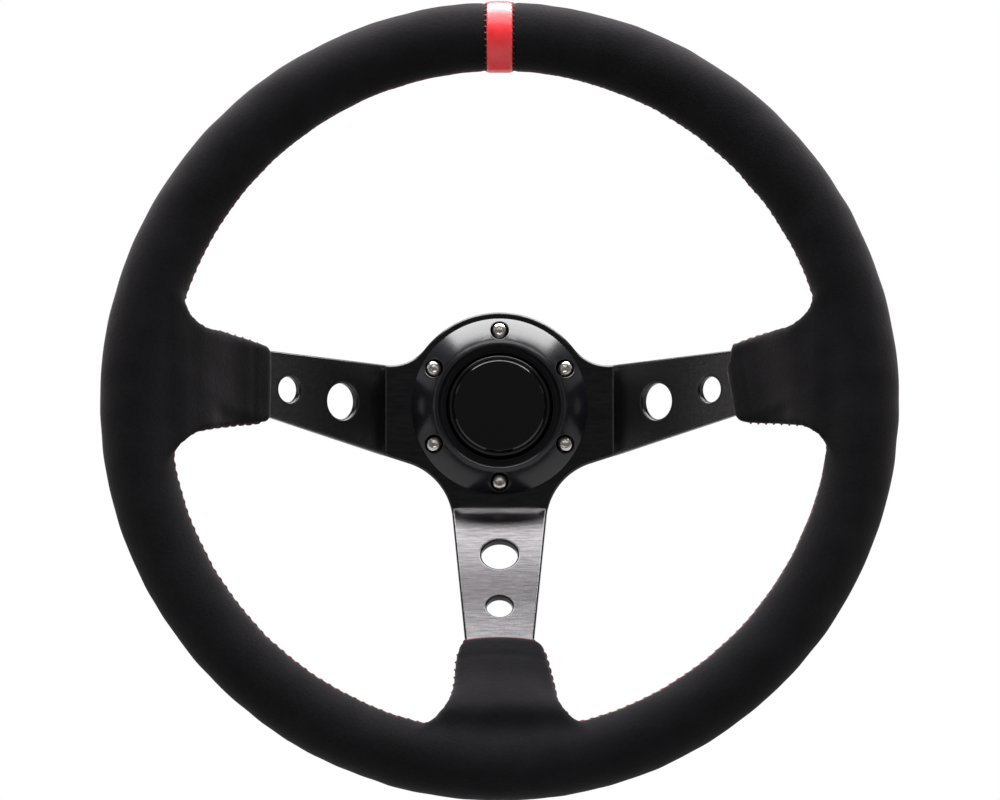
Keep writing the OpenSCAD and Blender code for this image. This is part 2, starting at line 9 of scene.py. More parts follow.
import bmesh
import bpy
import numpy as np
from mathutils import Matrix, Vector
from mathutils.geometry import delaunay_2d_cdt

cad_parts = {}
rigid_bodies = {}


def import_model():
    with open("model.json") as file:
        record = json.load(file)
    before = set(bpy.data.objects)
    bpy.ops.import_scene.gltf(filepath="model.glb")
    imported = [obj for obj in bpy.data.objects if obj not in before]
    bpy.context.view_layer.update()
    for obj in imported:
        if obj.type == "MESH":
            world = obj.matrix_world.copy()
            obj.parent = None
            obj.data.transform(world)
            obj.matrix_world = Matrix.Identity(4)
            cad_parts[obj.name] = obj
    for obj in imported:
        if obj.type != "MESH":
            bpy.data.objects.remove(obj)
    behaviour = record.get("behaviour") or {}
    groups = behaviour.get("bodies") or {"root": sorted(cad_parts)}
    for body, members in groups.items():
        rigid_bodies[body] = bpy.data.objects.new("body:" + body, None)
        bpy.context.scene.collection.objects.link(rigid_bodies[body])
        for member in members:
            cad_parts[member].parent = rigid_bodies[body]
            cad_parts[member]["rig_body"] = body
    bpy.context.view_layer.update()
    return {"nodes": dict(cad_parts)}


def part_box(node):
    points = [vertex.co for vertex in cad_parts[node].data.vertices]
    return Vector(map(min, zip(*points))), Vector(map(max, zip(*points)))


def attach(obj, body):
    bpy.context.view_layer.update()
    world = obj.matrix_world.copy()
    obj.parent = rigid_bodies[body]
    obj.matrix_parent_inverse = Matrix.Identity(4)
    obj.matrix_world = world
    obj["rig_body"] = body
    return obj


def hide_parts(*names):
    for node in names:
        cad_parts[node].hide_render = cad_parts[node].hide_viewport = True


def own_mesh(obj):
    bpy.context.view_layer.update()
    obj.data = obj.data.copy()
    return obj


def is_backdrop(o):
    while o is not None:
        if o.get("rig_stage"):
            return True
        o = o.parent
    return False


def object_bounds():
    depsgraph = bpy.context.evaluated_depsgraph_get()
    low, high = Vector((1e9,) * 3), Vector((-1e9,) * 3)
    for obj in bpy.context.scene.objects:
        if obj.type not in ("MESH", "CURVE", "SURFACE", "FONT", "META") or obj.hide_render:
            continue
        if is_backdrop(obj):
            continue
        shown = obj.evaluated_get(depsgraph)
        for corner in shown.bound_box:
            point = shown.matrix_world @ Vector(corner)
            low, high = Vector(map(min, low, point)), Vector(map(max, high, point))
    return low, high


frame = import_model()
scene = bpy.context.scene

# %% [markdown]
# The wheel is drawn lying down, as it would lie on a bench: x to the right, y to twelve o'clock, z up to
# the driver, all in millimetres. One function stands the finished points up into the frame's metres.
# %% Millimetres on the bench to metres in the frame
MM = 0.001


def stand(points):
    """Bench (x, y, z) in mm becomes frame (x, -z, y) in m."""
    p = np.asarray(points, float)
    return np.stack([p[..., 0], -p[..., 2], p[..., 1]], -1) * MM


RIM_LOW, RIM_HIGH = (np.array(v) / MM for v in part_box("foam_grip"))
SUEDE_T = 1.2
RIM_OD = RIM_HIGH[0] - RIM_LOW[0] + 2 * SUEDE_T
GRIP_T = RIM_HIGH[1] - RIM_LOW[1] + 2 * SUEDE_T
RIM_Z = -(RIM_HIGH[1] + RIM_LOW[1]) / 2
GRIP_W = 30.2
RIM_R = (RIM_OD - GRIP_W) / 2
RIM_IN = RIM_R - GRIP_W / 2
PLATE_BACK = 44.0
PLATE_T = 4.0
PLATE_FRONT = PLATE_BACK + PLATE_T
DISH = RIM_Z - PLATE_FRONT
print("rim", round(RIM_OD, 2), "thick", round(GRIP_T, 2), "height", round(RIM_Z, 2))

# %% [markdown]
# The camera looks straight at the wheel from 1.2 m, a little below its axis, through a long lens.
# %% Camera
camera = bpy.data.objects.new("camera", bpy.data.cameras.new("camera"))
scene.collection.objects.link(camera)
camera.location = (0.0, -1.329, -0.0547)
camera.rotation_mode = "QUATERNION"
aim = Vector((0.0002, -0.124, -0.0003)) - camera.location
camera.rotation_quaternion = aim.to_track_quat("-Z", "Y")
camera.data.lens = 99.1
camera.data.sensor_width = 36.0
camera.data.clip_start = 0.01
scene.camera = camera
scene.view_settings.view_transform = "Standard"
print("camera", round(aim.length, 3), "m from the rim")

# %% [markdown]
# Colours are written as sRGB hex, as a paint chart gives them, and turned to linear light by one function.
# One small function adds a shader node, sets what it is given and links what it is given.
# %% Colour and node helpers


def linear(code):
    """sRGB hex to linear RGBA by the sRGB curve."""
    srgb = np.array([int(code[i : i + 2], 16) for i in (1, 3, 5)]) / 255
    low, high = srgb / 12.92, ((srgb + 0.055) / 1.055) ** 2.4
    return (*np.where(srgb <= 0.04045, low, high), 1.0)


def add(tree, kind, inputs=None, **settings):
    """Adds a node. Inputs are values, or sockets to link, by name or number."""
    made = tree.nodes.new("ShaderNode" + kind)
    for name, value in settings.items():
        setattr(made, name, value)
    for name, value in (inputs or {}).items():
        if isinstance(value, bpy.types.NodeSocket):
            tree.links.new(value, made.inputs[name])
        else:
            made.inputs[name].default_value = value
    return made


def finish_named(name):
    """A new material with a plain Principled shader, and the frame's millimetres as its coordinates."""
    made = bpy.data.materials.new(name)
    made.use_nodes = True
    tree = made.node_tree
    tree.nodes.clear()
    shader = add(tree, "BsdfPrincipled")
    output = add(tree, "OutputMaterial", {"Surface": shader.outputs["BSDF"]})
    place = add(tree, "TexCoord").outputs["Object"]
    output.location = (400, 0)
    return made, tree, shader, place


def set_shader(shader, **values):
    """Constant values go straight on the shader's own sockets."""
    for name, value in values.items():
        shader.inputs[name.replace("_", " ")].default_value = value


def tint(tree, shader, share, dark, light):
    """Base colour between dark and light, mixed by share."""
    mixed = add(tree, "Mix", {0: share, 6: linear(dark), 7: linear(light)}, data_type="RGBA")
    tree.links.new(mixed.outputs[2], shader.inputs["Base Color"])


def relief(tree, shader, height, strength, depth):
    """Bump on the shader's normal: height from 0 to 1 stands for depth millimetres."""
    bump = add(tree, "Bump", {"Height": height, "Strength": strength, "Distance": depth * MM})
    tree.links.new(bump.outputs[0], shader.inputs["Normal"])


def per_metre(millimetres):
    """The texture scale whose features are about that many millimetres."""
    return 1 / (millimetres * MM)


# %% [markdown]
# Studio light. One long softbox hangs above the wheel and does most of the work: it greys the bottom spoke,
# draws a bright band on the bezel and catches every upper edge. The room round it is dark, with two weak
# strips that keep the sides readable, and the paper behind the wheel is white.
# %% Lights, paper and floor


def softbox(name, at, towards, size, radiance, colour="#ffffff"):
    """An area light of that radiance: its power is radiance times pi times its area."""
    light = bpy.data.lights.new(name, "AREA")
    light.shape = "RECTANGLE"
    light.size, light.size_y = size
    light.energy = radiance * np.pi * size[0] * size[1]
    light.color = linear(colour)[:3]
    made = bpy.data.objects.new(name, light)
    made.location = at
    made.rotation_mode = "QUATERNION"
    made.rotation_quaternion = (Vector(towards) - Vector(at)).to_track_quat("-Z", "Y")
    made.visible_camera = False
    scene.collection.objects.link(made)
    return made


softbox("overhead", (0.06, 0.02, 1.0), (0.06, 0.0, 0), (1.52, 0.8), 13.0)
softbox("overhead_front", (0.06, -0.83, 1.0), (0.06, -0.83, 0), (1.6, 0.88), 3.6)
softbox("low_fill", (0, -1.25, -0.95), (0, -0.1, 0), (2.2, 0.9), 3.0)
softbox("side_left", (-1.4, -0.4, 0.1), (0, -0.1, 0), (1.6, 1.4), 0.6)
softbox("side_right", (1.4, -0.4, 0.1), (0, -0.1, 0), (1.6, 1.4), 0.35)
softbox("behind", (0, 1.3, 0.1), (0, 0, 0), (2.2, 1.6), 0.9)
world = bpy.data.worlds.new("paper")
world.use_nodes = True
scene.world = world
sky = world.node_tree
sky.nodes.clear()
seen = add(sky, "LightPath").outputs["Is Camera Ray"]
room = add(sky, "Background", {"Color": linear("#ffffff"), "Strength": 0.12})
paper = add(sky, "Background", {"Color": linear("#ffffff"), "Strength": 1.0})
both = add(sky, "MixShader", {0: seen, 1: room.outputs[0], 2: paper.outputs[0]})
add(sky, "OutputWorld", {"Surface": both.outputs[0]})

# %% [markdown]
# New pieces are surfaces worked out with numpy. A grid of points is numbered row by row, a turned part is a
# profile carried round the axis, and a cord is a circle carried along a path. One function makes the
# object.
# %% Surface helpers


def unit(v):
    """v divided by its length."""
    return v / np.maximum(np.linalg.norm(v, axis=-1, keepdims=True), 1e-12)


def grid(rows, columns, closed_rows=False, closed_columns=True):
    """Four corners of each cell of a grid whose points are numbered row by row."""
    i = np.arange(rows if closed_rows else rows - 1)[:, None]
    j = np.arange(columns if closed_columns else columns - 1)[None, :]
    nxt_i, nxt_j = (i + 1) % rows, (j + 1) % columns
    cells = [i * columns + j, i * columns + nxt_j, nxt_i * columns + nxt_j, nxt_i * columns + j]
    return np.stack(np.broadcast_arrays(*cells), -1).reshape(-1, 4)


def rounded(corners, radii, steps=5, closed=False):
    """A line of corners (r, h) whose inner corners become arcs: each arc's centre lies on the corner's
    halving line at radius / sin(half the angle). A point beside each end of an arc keeps the flats flat."""
    p = np.array(corners, float)
    r = np.broadcast_to(np.array(radii, float), len(p))
    if closed:
        p, r = np.concatenate([p[-1:], p, p[:1]]), np.concatenate([r[-1:], r, r[:1]])
    mid, r = p[1:-1], r[1:-1, None]
    back, fore = p[:-2] - mid, p[2:] - mid
    shorter = np.minimum(np.linalg.norm(back, axis=1), np.linalg.norm(fore, axis=1))[:, None]
    ub, uf = unit(back), unit(fore)
    half = np.arccos(np.clip((ub * uf).sum(1, keepdims=True), -1, 0.999999)) / 2
    reach = np.clip(r / np.tan(half), 1e-4, 0.45 * shorter)
    r = reach * np.tan(half)
    centre = mid + unit(ub + uf) * r / np.sin(half)
    u0, u1 = (mid + ub * reach - centre) / r, (mid + uf * reach - centre) / r
    turn = np.maximum(np.pi - 2 * half, 1e-6)[:, None]
    t = np.linspace(0, 1, steps + 1)[None, :, None]
    mix = np.sin((1 - t) * turn) * u0[:, None] + np.sin(t * turn) * u1[:, None]
    arcs = centre[:, None] + r[:, None] * mix / np.sin(turn)
    aside = np.minimum(0.25 * r, 0.04 * shorter)
    before = (mid + ub * (reach + aside))[:, None]
    after = (mid + uf * (reach + aside))[:, None]
    line = np.concatenate([before, arcs, after], 1).reshape(-1, 2)
    return line if closed else np.concatenate([p[:1], line, p[-1:]])


def turned(profile, steps=144, closed=True, start=0.0):
    """Each (r, h) of the profile goes round the axis: (r cos a, r sin a, h)."""
    a = start + np.arange(steps) * 2 * np.pi / steps
    r, h = profile[:, :1], profile[:, 1:]
    points = np.stack([r * np.cos(a), r * np.sin(a), h + 0 * a], -1).reshape(-1, 3)
    return points, grid(len(profile), steps, closed)


def tube(path, aside, radius, sides=8, closed=False):
    """A circle carried along the path. Its two axes are the part of aside square to the path, and its
    cross."""
    path = np.asarray(path, float)
    if closed:
        along = np.roll(path, -1, 0) - np.roll(path, 1, 0)
    else:
        along = np.gradient(path, axis=0)
    along = unit(along)
    first = unit(aside - (aside * along).sum(1, keepdims=True) * along)
    second = np.cross(along, first)
    b = np.arange(sides) * 2 * np.pi / sides
    ring = first[:, None] * np.cos(b)[:, None] + second[:, None] * np.sin(b)[:, None]
    points = (path[:, None] + np.reshape(radius, (-1, 1, 1)) * ring).reshape(-1, 3)
    faces = [grid(len(path), sides, closed)]
    if not closed:
        last = (len(path) - 1) * sides
        faces += [np.arange(sides)[None, ::-1], last + np.arange(sides)[None]]
    return points, faces


def piece(name, parts, finish, body, stands_for=(), sharp=60.0, weld=True):
    """Joins the parts' points and faces into one object with outward faces, in its place in the frame."""
    points, faces, first = [], [], 0
    for p, f in parts:
        for group in f if isinstance(f, list) else [f]:
            faces += (group + first).tolist()
        points.append(p)
        first += len(p)
    mesh = bpy.data.meshes.new(name)
    mesh.from_pydata(stand(np.concatenate(points)).tolist(), [], faces)
    if weld:
        work = bmesh.new()
        work.from_mesh(mesh)
        bmesh.ops.remove_doubles(work, verts=work.verts, dist=2e-6)
        bmesh.ops.recalc_face_normals(work, faces=work.faces)
        work.to_mesh(mesh)
        work.free()
    mesh.shade_smooth()
    mesh.set_sharp_from_angle(angle=np.radians(sharp))
    made = bpy.data.objects.new(name, mesh)
    scene.collection.objects.link(made)
    mesh.materials.append(finish)
    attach(made, body)
    if stands_for:
        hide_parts(*stands_for)
    print(name, len(mesh.polygons), "faces")
    return made


disc = np.stack([np.linspace(1.9, 0, 20) / MM, np.full(20, 0.0)], 1)
floor_points, floor_faces = turned(disc, 96, closed=False)
floor_points = floor_points[:, [0, 2, 1]] + np.array([0, -450, 60])
floor_mat, tree, shader, place = finish_named("floor_pale_matt_board")
set_shader(shader, Base_Color=linear("#9c9c9d"), Roughness=0.85)
floor = piece("floor", [(floor_points, floor_faces)], floor_mat, "wheel")
floor.parent = None
del floor["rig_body"]
floor["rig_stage"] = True

# %% [markdown]
# Suede is leather with its flesh side raised into a nap about half a millimetre long. The nap scatters
# light, so it has no shine, only a soft lift at grazing angles, which is the shader's sheen. Brushing
# leaves patches a few centimetres wide. Real fibres are 0.05 mm thick, too fine to show, so the nap is
# drawn at 1.1 mm.
# %% Suede
suede, tree, shader, place = finish_named("suede_black_napped")
patches = add(tree, "TexNoise", {"Vector": place, "Scale": per_metre(24), "Detail": 3.0, "Roughness": 0.55})
nap = add(tree, "TexNoise", {"Vector": place, "Scale": per_metre(1.6), "Detail": 4.0, "Roughness": 0.65})
fibre = add(tree, "TexNoise", {"Vector": place, "Scale": per_metre(0.7), "Detail": 2.0, "Roughness": 0.6})
patch_share = add(
    tree,
    "MapRange",
    {"Value": patches.outputs["Fac"], "From Min": 0.35, "From Max": 0.68, "To Max": 0.55},
)
nap_share = add(
    tree, "MapRange", {"Value": nap.outputs["Fac"], "From Min": 0.3, "From Max": 0.72, "To Max": 0.45}
)
lightness = add(
    tree, "Math", {0: patch_share.outputs[0], 1: nap_share.outputs[0]}, operation="ADD", use_clamp=True
)
tint(tree, shader, lightness.outputs[0], "#09090b", "#141315")
coarse = add(tree, "Bump", {"Height": nap.outputs["Fac"], "Strength": 0.55, "Distance": 0.35 * MM})
fine = add(
    tree,
    "Bump",
    {"Height": fibre.outputs["Fac"], "Strength": 0.45, "Distance": 0.2 * MM, "Normal": coarse.outputs[0]},
)
tree.links.new(fine.outputs[0], shader.inputs["Normal"])
set_shader(
    shader,
    Roughness=0.95,
    Specular_IOR_Level=0.04,
    Sheen_Weight=0.22,
    Sheen_Roughness=0.55,
    Sheen_Tint=linear("#b9b3b5"),
)

# %% [markdown]
# The marker is smooth dyed leather with a thin clear top coat: saturated red, a soft wide highlight, and a
# grain of small pebbles about 0.9 mm across that the dressing has almost filled.
# %% Red leather and thread
leather, tree, shader, place = finish_named("leather_red_smooth")
pebble = add(tree, "TexVoronoi", {"Vector": place, "Scale": per_metre(0.9)}, feature="SMOOTH_F1")
shade = add(tree, "TexNoise", {"Vector": place, "Scale": per_metre(5), "Detail": 3.0})
tint(tree, shader, shade.outputs["Fac"], "#e8222a", "#fb4146")
relief(tree, shader, pebble.outputs["Distance"], 0.25, 0.12)
set_shader(shader, Roughness=0.34, IOR=1.5, Coat_Weight=0.3, Coat_Roughness=0.28)



def thread_finish(name, dark, light, depth, roughness, sheen):
    """Bonded nylon thread: a fine twist that tints it and stands depth millimetres proud."""
    made, tree, shader, place = finish_named(name)
    twist = add(tree, "TexNoise", {"Vector": place, "Scale": per_metre(0.5), "Detail": 2.0})
    tint(tree, shader, twist.outputs["Fac"], dark, light)
    relief(tree, shader, twist.outputs["Fac"], 0.5, depth)
    set_shader(shader, Roughness=roughness, IOR=1.53, Sheen_Weight=sheen)
    return made


thread = thread_finish("thread_red_bonded_nylon", "#430a11", "#77141d", 0.15, 0.55, 0.05)
# A darker copy of the red thread for the marker's stitches: its extra darkness is painted shade of the hollow
# beside the marker.
crevice_shaded_thread = thread_finish("thread_red_bonded_nylon_painted_crevice_shade", "#31060b", "#6a0f18", 0.12, 0.6, 0.1)

# %% [markdown]
# The plate is aluminium, brushed with grit along one direction, then anodised and dyed black. The oxide is
# dark and clear, so the metal's gloss shows through it at a tenth of its strength, drawn out across the
# brush lines. The lines run across the spokes; they are about 0.3 mm apart, drawn at 0.45 mm.
# %% Black anodised metal


def anodised(name, dark, light, roughness, brushed):
    """A dark metal. Its noise is stretched along x by brushed, so the streaks lie that way."""
    made, tree, shader, place = finish_named(name)
    stretch = add(tree, "Mapping", {"Vector": place, "Scale": (1 / brushed, 1.0, 1.0)})
    lines = add(
        tree,
        "TexNoise",
        {"Vector": stretch.outputs[0], "Scale": per_metre(0.9), "Detail": 5.0, "Roughness": 0.7},
    )
    cloud = add(tree, "TexNoise", {"Vector": place, "Scale": per_metre(30), "Detail": 2.0})
    grit = add(tree, "MapRange", {"Value": lines.outputs["Fac"], "From Min": 0.35, "From Max": 0.65})
    tint(tree, shader, grit.outputs[0], dark, light)
    rough = add(
        tree,
        "MapRange",
        {"Value": cloud.outputs["Fac"], "To Min": roughness * 0.85, "To Max": roughness * 1.15},
    )
    tree.links.new(rough.outputs[0], shader.inputs["Roughness"])
    relief(tree, shader, lines.outputs["Fac"], 0.15, 0.05)
    set_shader(shader, Metallic=1.0)
    return made


plate_finish = anodised("aluminium_black_anodised_brushed", "#3a393b", "#4e4c4d", 0.21, 9)
coupling_finish = anodised("aluminium_black_anodised_coupling", "#2c2c2f", "#37373a", 0.32, 1.0)


def bare(name, dark, light, roughness, scale=1.5):
    """A bare or plated metal: colour from dark to light, and a roughness that wanders a little."""
    made, tree, shader, place = finish_named(name)
    blot = add(tree, "TexNoise", {"Vector": place, "Scale": per_metre(scale), "Detail": 4.0})
    tint(tree, shader, blot.outputs["Fac"], dark, light)
    rough = add(
        tree,
        "MapRange",
        {"Value": blot.outputs["Fac"], "To Min": roughness * 0.7, "To Max": roughness * 1.3},
    )
    tree.links.new(rough.outputs[0], shader.inputs["Roughness"])
    relief(tree, shader, blot.outputs["Fac"], 0.12, 0.05)
    set_shader(shader, Metallic=1.0)
    return made


def moulded(name, dark, light, roughness, grain_mm=0.5, ior=1.5, bump=0.1):
    """A moulded plastic, rubber or foam: a dielectric with a fine grain."""
    made, tree, shader, place = finish_named(name)
    blot = add(tree, "TexNoise", {"Vector": place, "Scale": per_metre(grain_mm), "Detail": 3.0})
    tint(tree, shader, blot.outputs["Fac"], dark, light)
    relief(tree, shader, blot.outputs["Fac"], bump, 0.1)
    set_shader(shader, Roughness=roughness, IOR=ior)
    return made


nickel = bare("steel_nickel_plated", "#e4e0d8", "#f6f2eb", 0.25)
spring_steel = bare("spring_steel_oiled", "#6d6d70", "#8c8c90", 0.3)
ball_steel = bare("bearing_steel_polished", "#c4c4c6", "#d4d4d6", 0.08)
spline_steel = bare("steel_broached_splines", "#77777a", "#8e8e92", 0.3)
ring_steel = bare("steel_tube_painted_dark", "#38383a", "#48484a", 0.45)
rivet_aluminium = bare("aluminium_rivet", "#97979a", "#b2b2b4", 0.38)
brass = bare("brass_stamped", "#a98743", "#c7a45c", 0.28)
collar_finish = bare("aluminium_clear_anodised", "#a2a2a6", "#bcbcc0", 0.3)
bezel_finish = moulded("aluminium_black_lacquered", "#0e0d11", "#141318", 0.2, grain_mm=3.0, bump=0.02)
cap_plastic = moulded("abs_black_polished", "#050506", "#08080a", 0.09, bump=0.02)
ring_plastic = moulded("abs_black_satin", "#08080a", "#0f0f11", 0.2, bump=0.05)
housing_plastic = moulded("nylon_black_moulded", "#101011", "#1a1a1b", 0.45)
foam = moulded("foam_moulded_black", "#121212", "#1e1e1e", 0.9, grain_mm=0.8, bump=0.6)
print("materials", len(bpy.data.materials))

# %% [markdown]
# The spoke plate is cut flat and then bent in a press, so it is made the same way here. Its lean is nought
# on the hub, rises to the slope's angle through the first bend and falls back through the second, in a
# straight line along the metal. The place of each point is the running sum of that lean.
# %% The bent sheet
BEND_R = 5.0
STEP = 0.02


class Sheet:
    """One spoke's line from the hub to the rim: u outwards, z up, by length s along the middle of the
    metal."""

    def __init__(self, bend, end):
        self.angle = np.arctan2(DISH, end - bend)
        half = PLATE_T / 2 * np.tan(self.angle / 2)
        reach = BEND_R * np.tan(self.angle / 2)
        self.corner = bend + half
        self.bend, self.end = bend, end
        first = self.corner - reach
        turn = BEND_R * self.angle
        slope = DISH / np.sin(self.angle) - 2 * reach
        stops = np.cumsum([first, turn, slope, turn])
        self.s = np.arange(0, stops[-1] + 60, STEP)
        self.lean = np.interp(self.s, stops, [0, self.angle, self.angle, 0])
        middle = (self.lean[1:] + self.lean[:-1]) / 2
        self.u = np.concatenate([[0], np.cumsum(np.cos(middle))]) * STEP

        self.z = PLATE_FRONT - PLATE_T / 2 + np.concatenate([[0], np.cumsum(np.sin(middle))]) * STEP

    def length_at(self, u):
        """Length s along the metal at the plan distance u."""
        return np.interp(u, self.u, self.s)

    def hole(self, share):
        """Length s of a hole drilled a share of the way out, on the front face."""
        on_front = self.bend + share * (self.end - self.bend)
        return self.length_at(on_front + PLATE_T / 2 * np.sin(self.angle))


side_sheet = Sheet(52.5, RIM_IN - 3.3)
bottom_sheet = Sheet(47.5, RIM_IN - 8.3)
print("slopes", np.degrees([side_sheet.angle, bottom_sheet.angle]).round(2))

# %% [markdown]
# The outline of the plate is the hub's circle, a fillet into each side spoke, the spokes' straight edges
# and a fillet into the bottom spoke. Fillet centres come from tangency, as on a drawing.
# %% The plate's outline


def straight(x, x0, y0, x1, y1):
    """Height at x of the line through two points."""
    return y0 + (x - x0) * (y1 - y0) / (x1 - x0)


def side_top(x):
    return straight(x, 52.5, 19.4, RIM_IN - 3.3, 26.2)


def side_low(x):
    return straight(x, 52.5, -23.3, RIM_IN - 3.3, 4.6)


def bottom_half(u):
    return straight(u, 47.5, 22.35, RIM_IN - 8.3, 12.3)


HUB_R, UPPER_FILLET, LOWER_FILLET, ARM_END, END_R = 44.1, 20.0, 29.5, 152.0, 3.0


def arc(centre, radius, a0, a1, steps):
    """Points of an arc about a centre, from one angle in degrees to another."""
    a = np.radians(np.linspace(a0, a1, steps))[:, None]
    return np.array(centre) + radius * np.concatenate([np.cos(a), np.sin(a)], 1)


def right_outline():
    """Plan points from twelve o'clock clockwise to six o'clock."""
    x0, x1 = 52.5, RIM_IN - 3.3
    lean = np.arctan2(side_top(x1) - side_top(x0), x1 - x0)
    line, normal = np.array([np.cos(lean), np.sin(lean)]), np.array([-np.sin(lean), np.cos(lean)])
    start = np.array([x0, side_top(x0)]) + UPPER_FILLET * normal
    dot = start @ line
    upper = start + (-dot + np.sqrt(dot**2 - start @ start + (HUB_R + UPPER_FILLET) ** 2)) * line
    low_lean = np.arctan2(side_low(x1) - side_low(x0), x1 - x0)
    low_normal = np.array([np.sin(low_lean), -np.cos(low_lean)])
    tall_lean = np.arctan2(bottom_half(47.5) - bottom_half(RIM_IN - 8.3), RIM_IN - 8.3 - 47.5)
    tall_normal = np.array([np.cos(tall_lean), -np.sin(tall_lean)])
    reach = [
        LOWER_FILLET + low_normal @ [x0, side_low(x0)],
        LOWER_FILLET + tall_normal @ [bottom_half(47.5), -47.5],
    ]
    lower = np.linalg.solve(np.array([low_normal, tall_normal]), reach)
    foot = np.degrees(np.arctan2(upper[1], upper[0]))
    lean, low_lean, tall_lean = np.degrees([lean, low_lean, tall_lean])
    return np.concatenate(
        [
            arc([0, 0], HUB_R, 90, foot, 60),
            arc(upper, UPPER_FILLET, foot + 180, 270 + lean, 40)[1:],
            arc([ARM_END - END_R, side_top(ARM_END) - END_R], END_R, 90, 0, 6),
            arc([ARM_END - END_R, side_low(ARM_END) + END_R], END_R, 0, -90, 6),
            arc(lower, LOWER_FILLET, 90 + low_lean, 180 - tall_lean, 50),
            arc([bottom_half(ARM_END) - END_R, END_R - ARM_END], END_R, 0, -90, 6),
        ]
    )


def resampled(line, step):
    """Points at even steps along a closed line."""
    ends = np.concatenate([line, line[:1]])
    at = np.concatenate([[0], np.cumsum(np.linalg.norm(np.diff(ends, axis=0), axis=1))])
    even = np.linspace(0, at[-1], int(at[-1] / step) + 1)[:-1]
    return np.stack([np.interp(even, at, ends[:, i]) for i in (0, 1)], 1)


half_line = right_outline()
plan = resampled(np.concatenate([half_line, half_line[::-1] * [-1, 1]]), 0.8)


def flattened(p):
    """Plan points to the flat blank: each spoke's distance from the axis becomes its length along the
    metal."""
    x, y = p[:, 0], p[:, 1]
    down = -y > 44.0
    out = (np.abs(x) > 44.5) & ~down
    x = np.where(out, np.sign(x) * side_sheet.length_at(np.abs(x)), x)
    y = np.where(down, -bottom_sheet.length_at(np.abs(y)), y)
    return np.stack([x, y], 1)


def pressed(flat, off):
    """A point of the flat blank, off millimetres in front of its middle, after the press has bent it."""
    x, y = flat[:, 0], flat[:, 1]
    down = -y > 44.0
    places = []
    for sheet, s in ((side_sheet, np.abs(x)), (bottom_sheet, np.abs(y))):
        lean = np.interp(s, sheet.s, sheet.lean)
        u = np.interp(s, sheet.s, sheet.u) - off * np.sin(lean)
        z = np.interp(s, sheet.s, sheet.z) + off * np.cos(lean)
        places.append((u, z))
    (ux, zx), (uy, zy) = places
    px = np.where(down, x, np.sign(x) * ux)
    py = np.where(down, -uy, y)
    return np.stack([px, py, np.where(down, zy, zx)], 1)


def circle(centre, radius, count):
    """A closed circle of points, anticlockwise, so that the metal is on the right hand all the way round."""
    a = np.arange(count) * 2 * np.pi / count
    return np.array(centre) + radius * np.stack([np.cos(a), np.sin(a)], 1)


loops = [flattened(plan), circle((0, 0), 25.0, 160)]
for share, y, d in ((0.22, 1.8, 16.6), (0.477, 6.3, 11.6)):
    for sign in (-1, 1):
        loops.append(circle((sign * side_sheet.hole(share), y), d / 2, 72))
for share, d in ((0.234, 16.6), (0.494, 11.6)):
    loops.append(circle((0, -bottom_sheet.hole(share)), d / 2, 72))
screw_angles = np.radians(90 + 60 * np.arange(6))
for a in screw_angles:
    loops.append(circle((35 * np.cos(a), 35 * np.sin(a)), 2.25, 24))
print("plate loops", len(loops), "outline points", len(plan))

# %% [markdown]
# Cut and tumbled edges are never sharp: a 1.15 mm round runs along every edge and hole, and that round is
# what draws the thin bright line along the upper edges. The face is a triangle net inside the outline, with
# rows close together where the metal bends.
# %% Spoke plate
EDGE_R = 1.15
phi = np.radians(np.linspace(90, 0, 7))
front_rows = [(EDGE_R + 0.3, PLATE_T / 2)]
front_rows += [
    (EDGE_R * (1 - np.cos(a)), PLATE_T / 2 - EDGE_R * (1 - np.sin(a))) for a in phi
]
front_rows += [(0.0, PLATE_T / 2 - EDGE_R - 0.3)]
edge_rows = front_rows + [(inset, -off) for inset, off in front_rows[::-1]]


def inset_loop(loop, inset):
    """The loop moved into the metal: each point along its inward normal."""
    along = unit(np.roll(loop, -1, 0) - np.roll(loop, 1, 0))
    return loop + inset * np.stack([along[:, 1], -along[:, 0]], 1)


def inside(points, loop):
    """Even-odd test: whether a ray to the right crosses the loop an odd number of times."""
    x, y = points[:, 0][:, None], points[:, 1][:, None]
    x0, y0 = loop[:, 0], loop[:, 1]
    x1, y1 = np.roll(x0, -1), np.roll(y0, -1)
    spans = (y0 > y) != (y1 > y)
    cross = x < (x1 - x0) * (y - y0) / np.where(y1 == y0, 1e-12, y1 - y0) + x0
    return (spans & cross).sum(1) % 2 == 1


def in_metal(points, borders):
    """Inside the outline and outside every hole."""
    kept = inside(points, borders[0])
    for hole in borders[1:]:
        kept &= ~inside(points, hole)
    return kept


borders = [inset_loop(loop, edge_rows[0][0]) for loop in loops]


def net_points():
    """A net of points over the blank: 2.5 mm apart, and 0.45 mm apart across each bend."""
    rows = []
    for sheet in (side_sheet, bottom_sheet):
        turns = sheet.s[np.concatenate([[False], np.abs(np.diff(sheet.lean)) > 1e-9])]
        first = turns[turns < 100]
        last = turns[turns > 100]
        near = [np.linspace(t[0], t[-1], 10) for t in (first, last)]
        rows.append(np.concatenate([np.arange(0, 165, 2.5), *near]))
    side, down = rows
    xs = np.concatenate([-side[::-1], side])
    a = np.stack(np.meshgrid(xs, np.arange(-50, 46, 2.5)), -1).reshape(-1, 2)
    b = np.stack(np.meshgrid(np.arange(-40, 41, 2.5), -down[down > 50]), -1).reshape(-1, 2)
    return np.concatenate([a[a[:, 1] > -49], b])


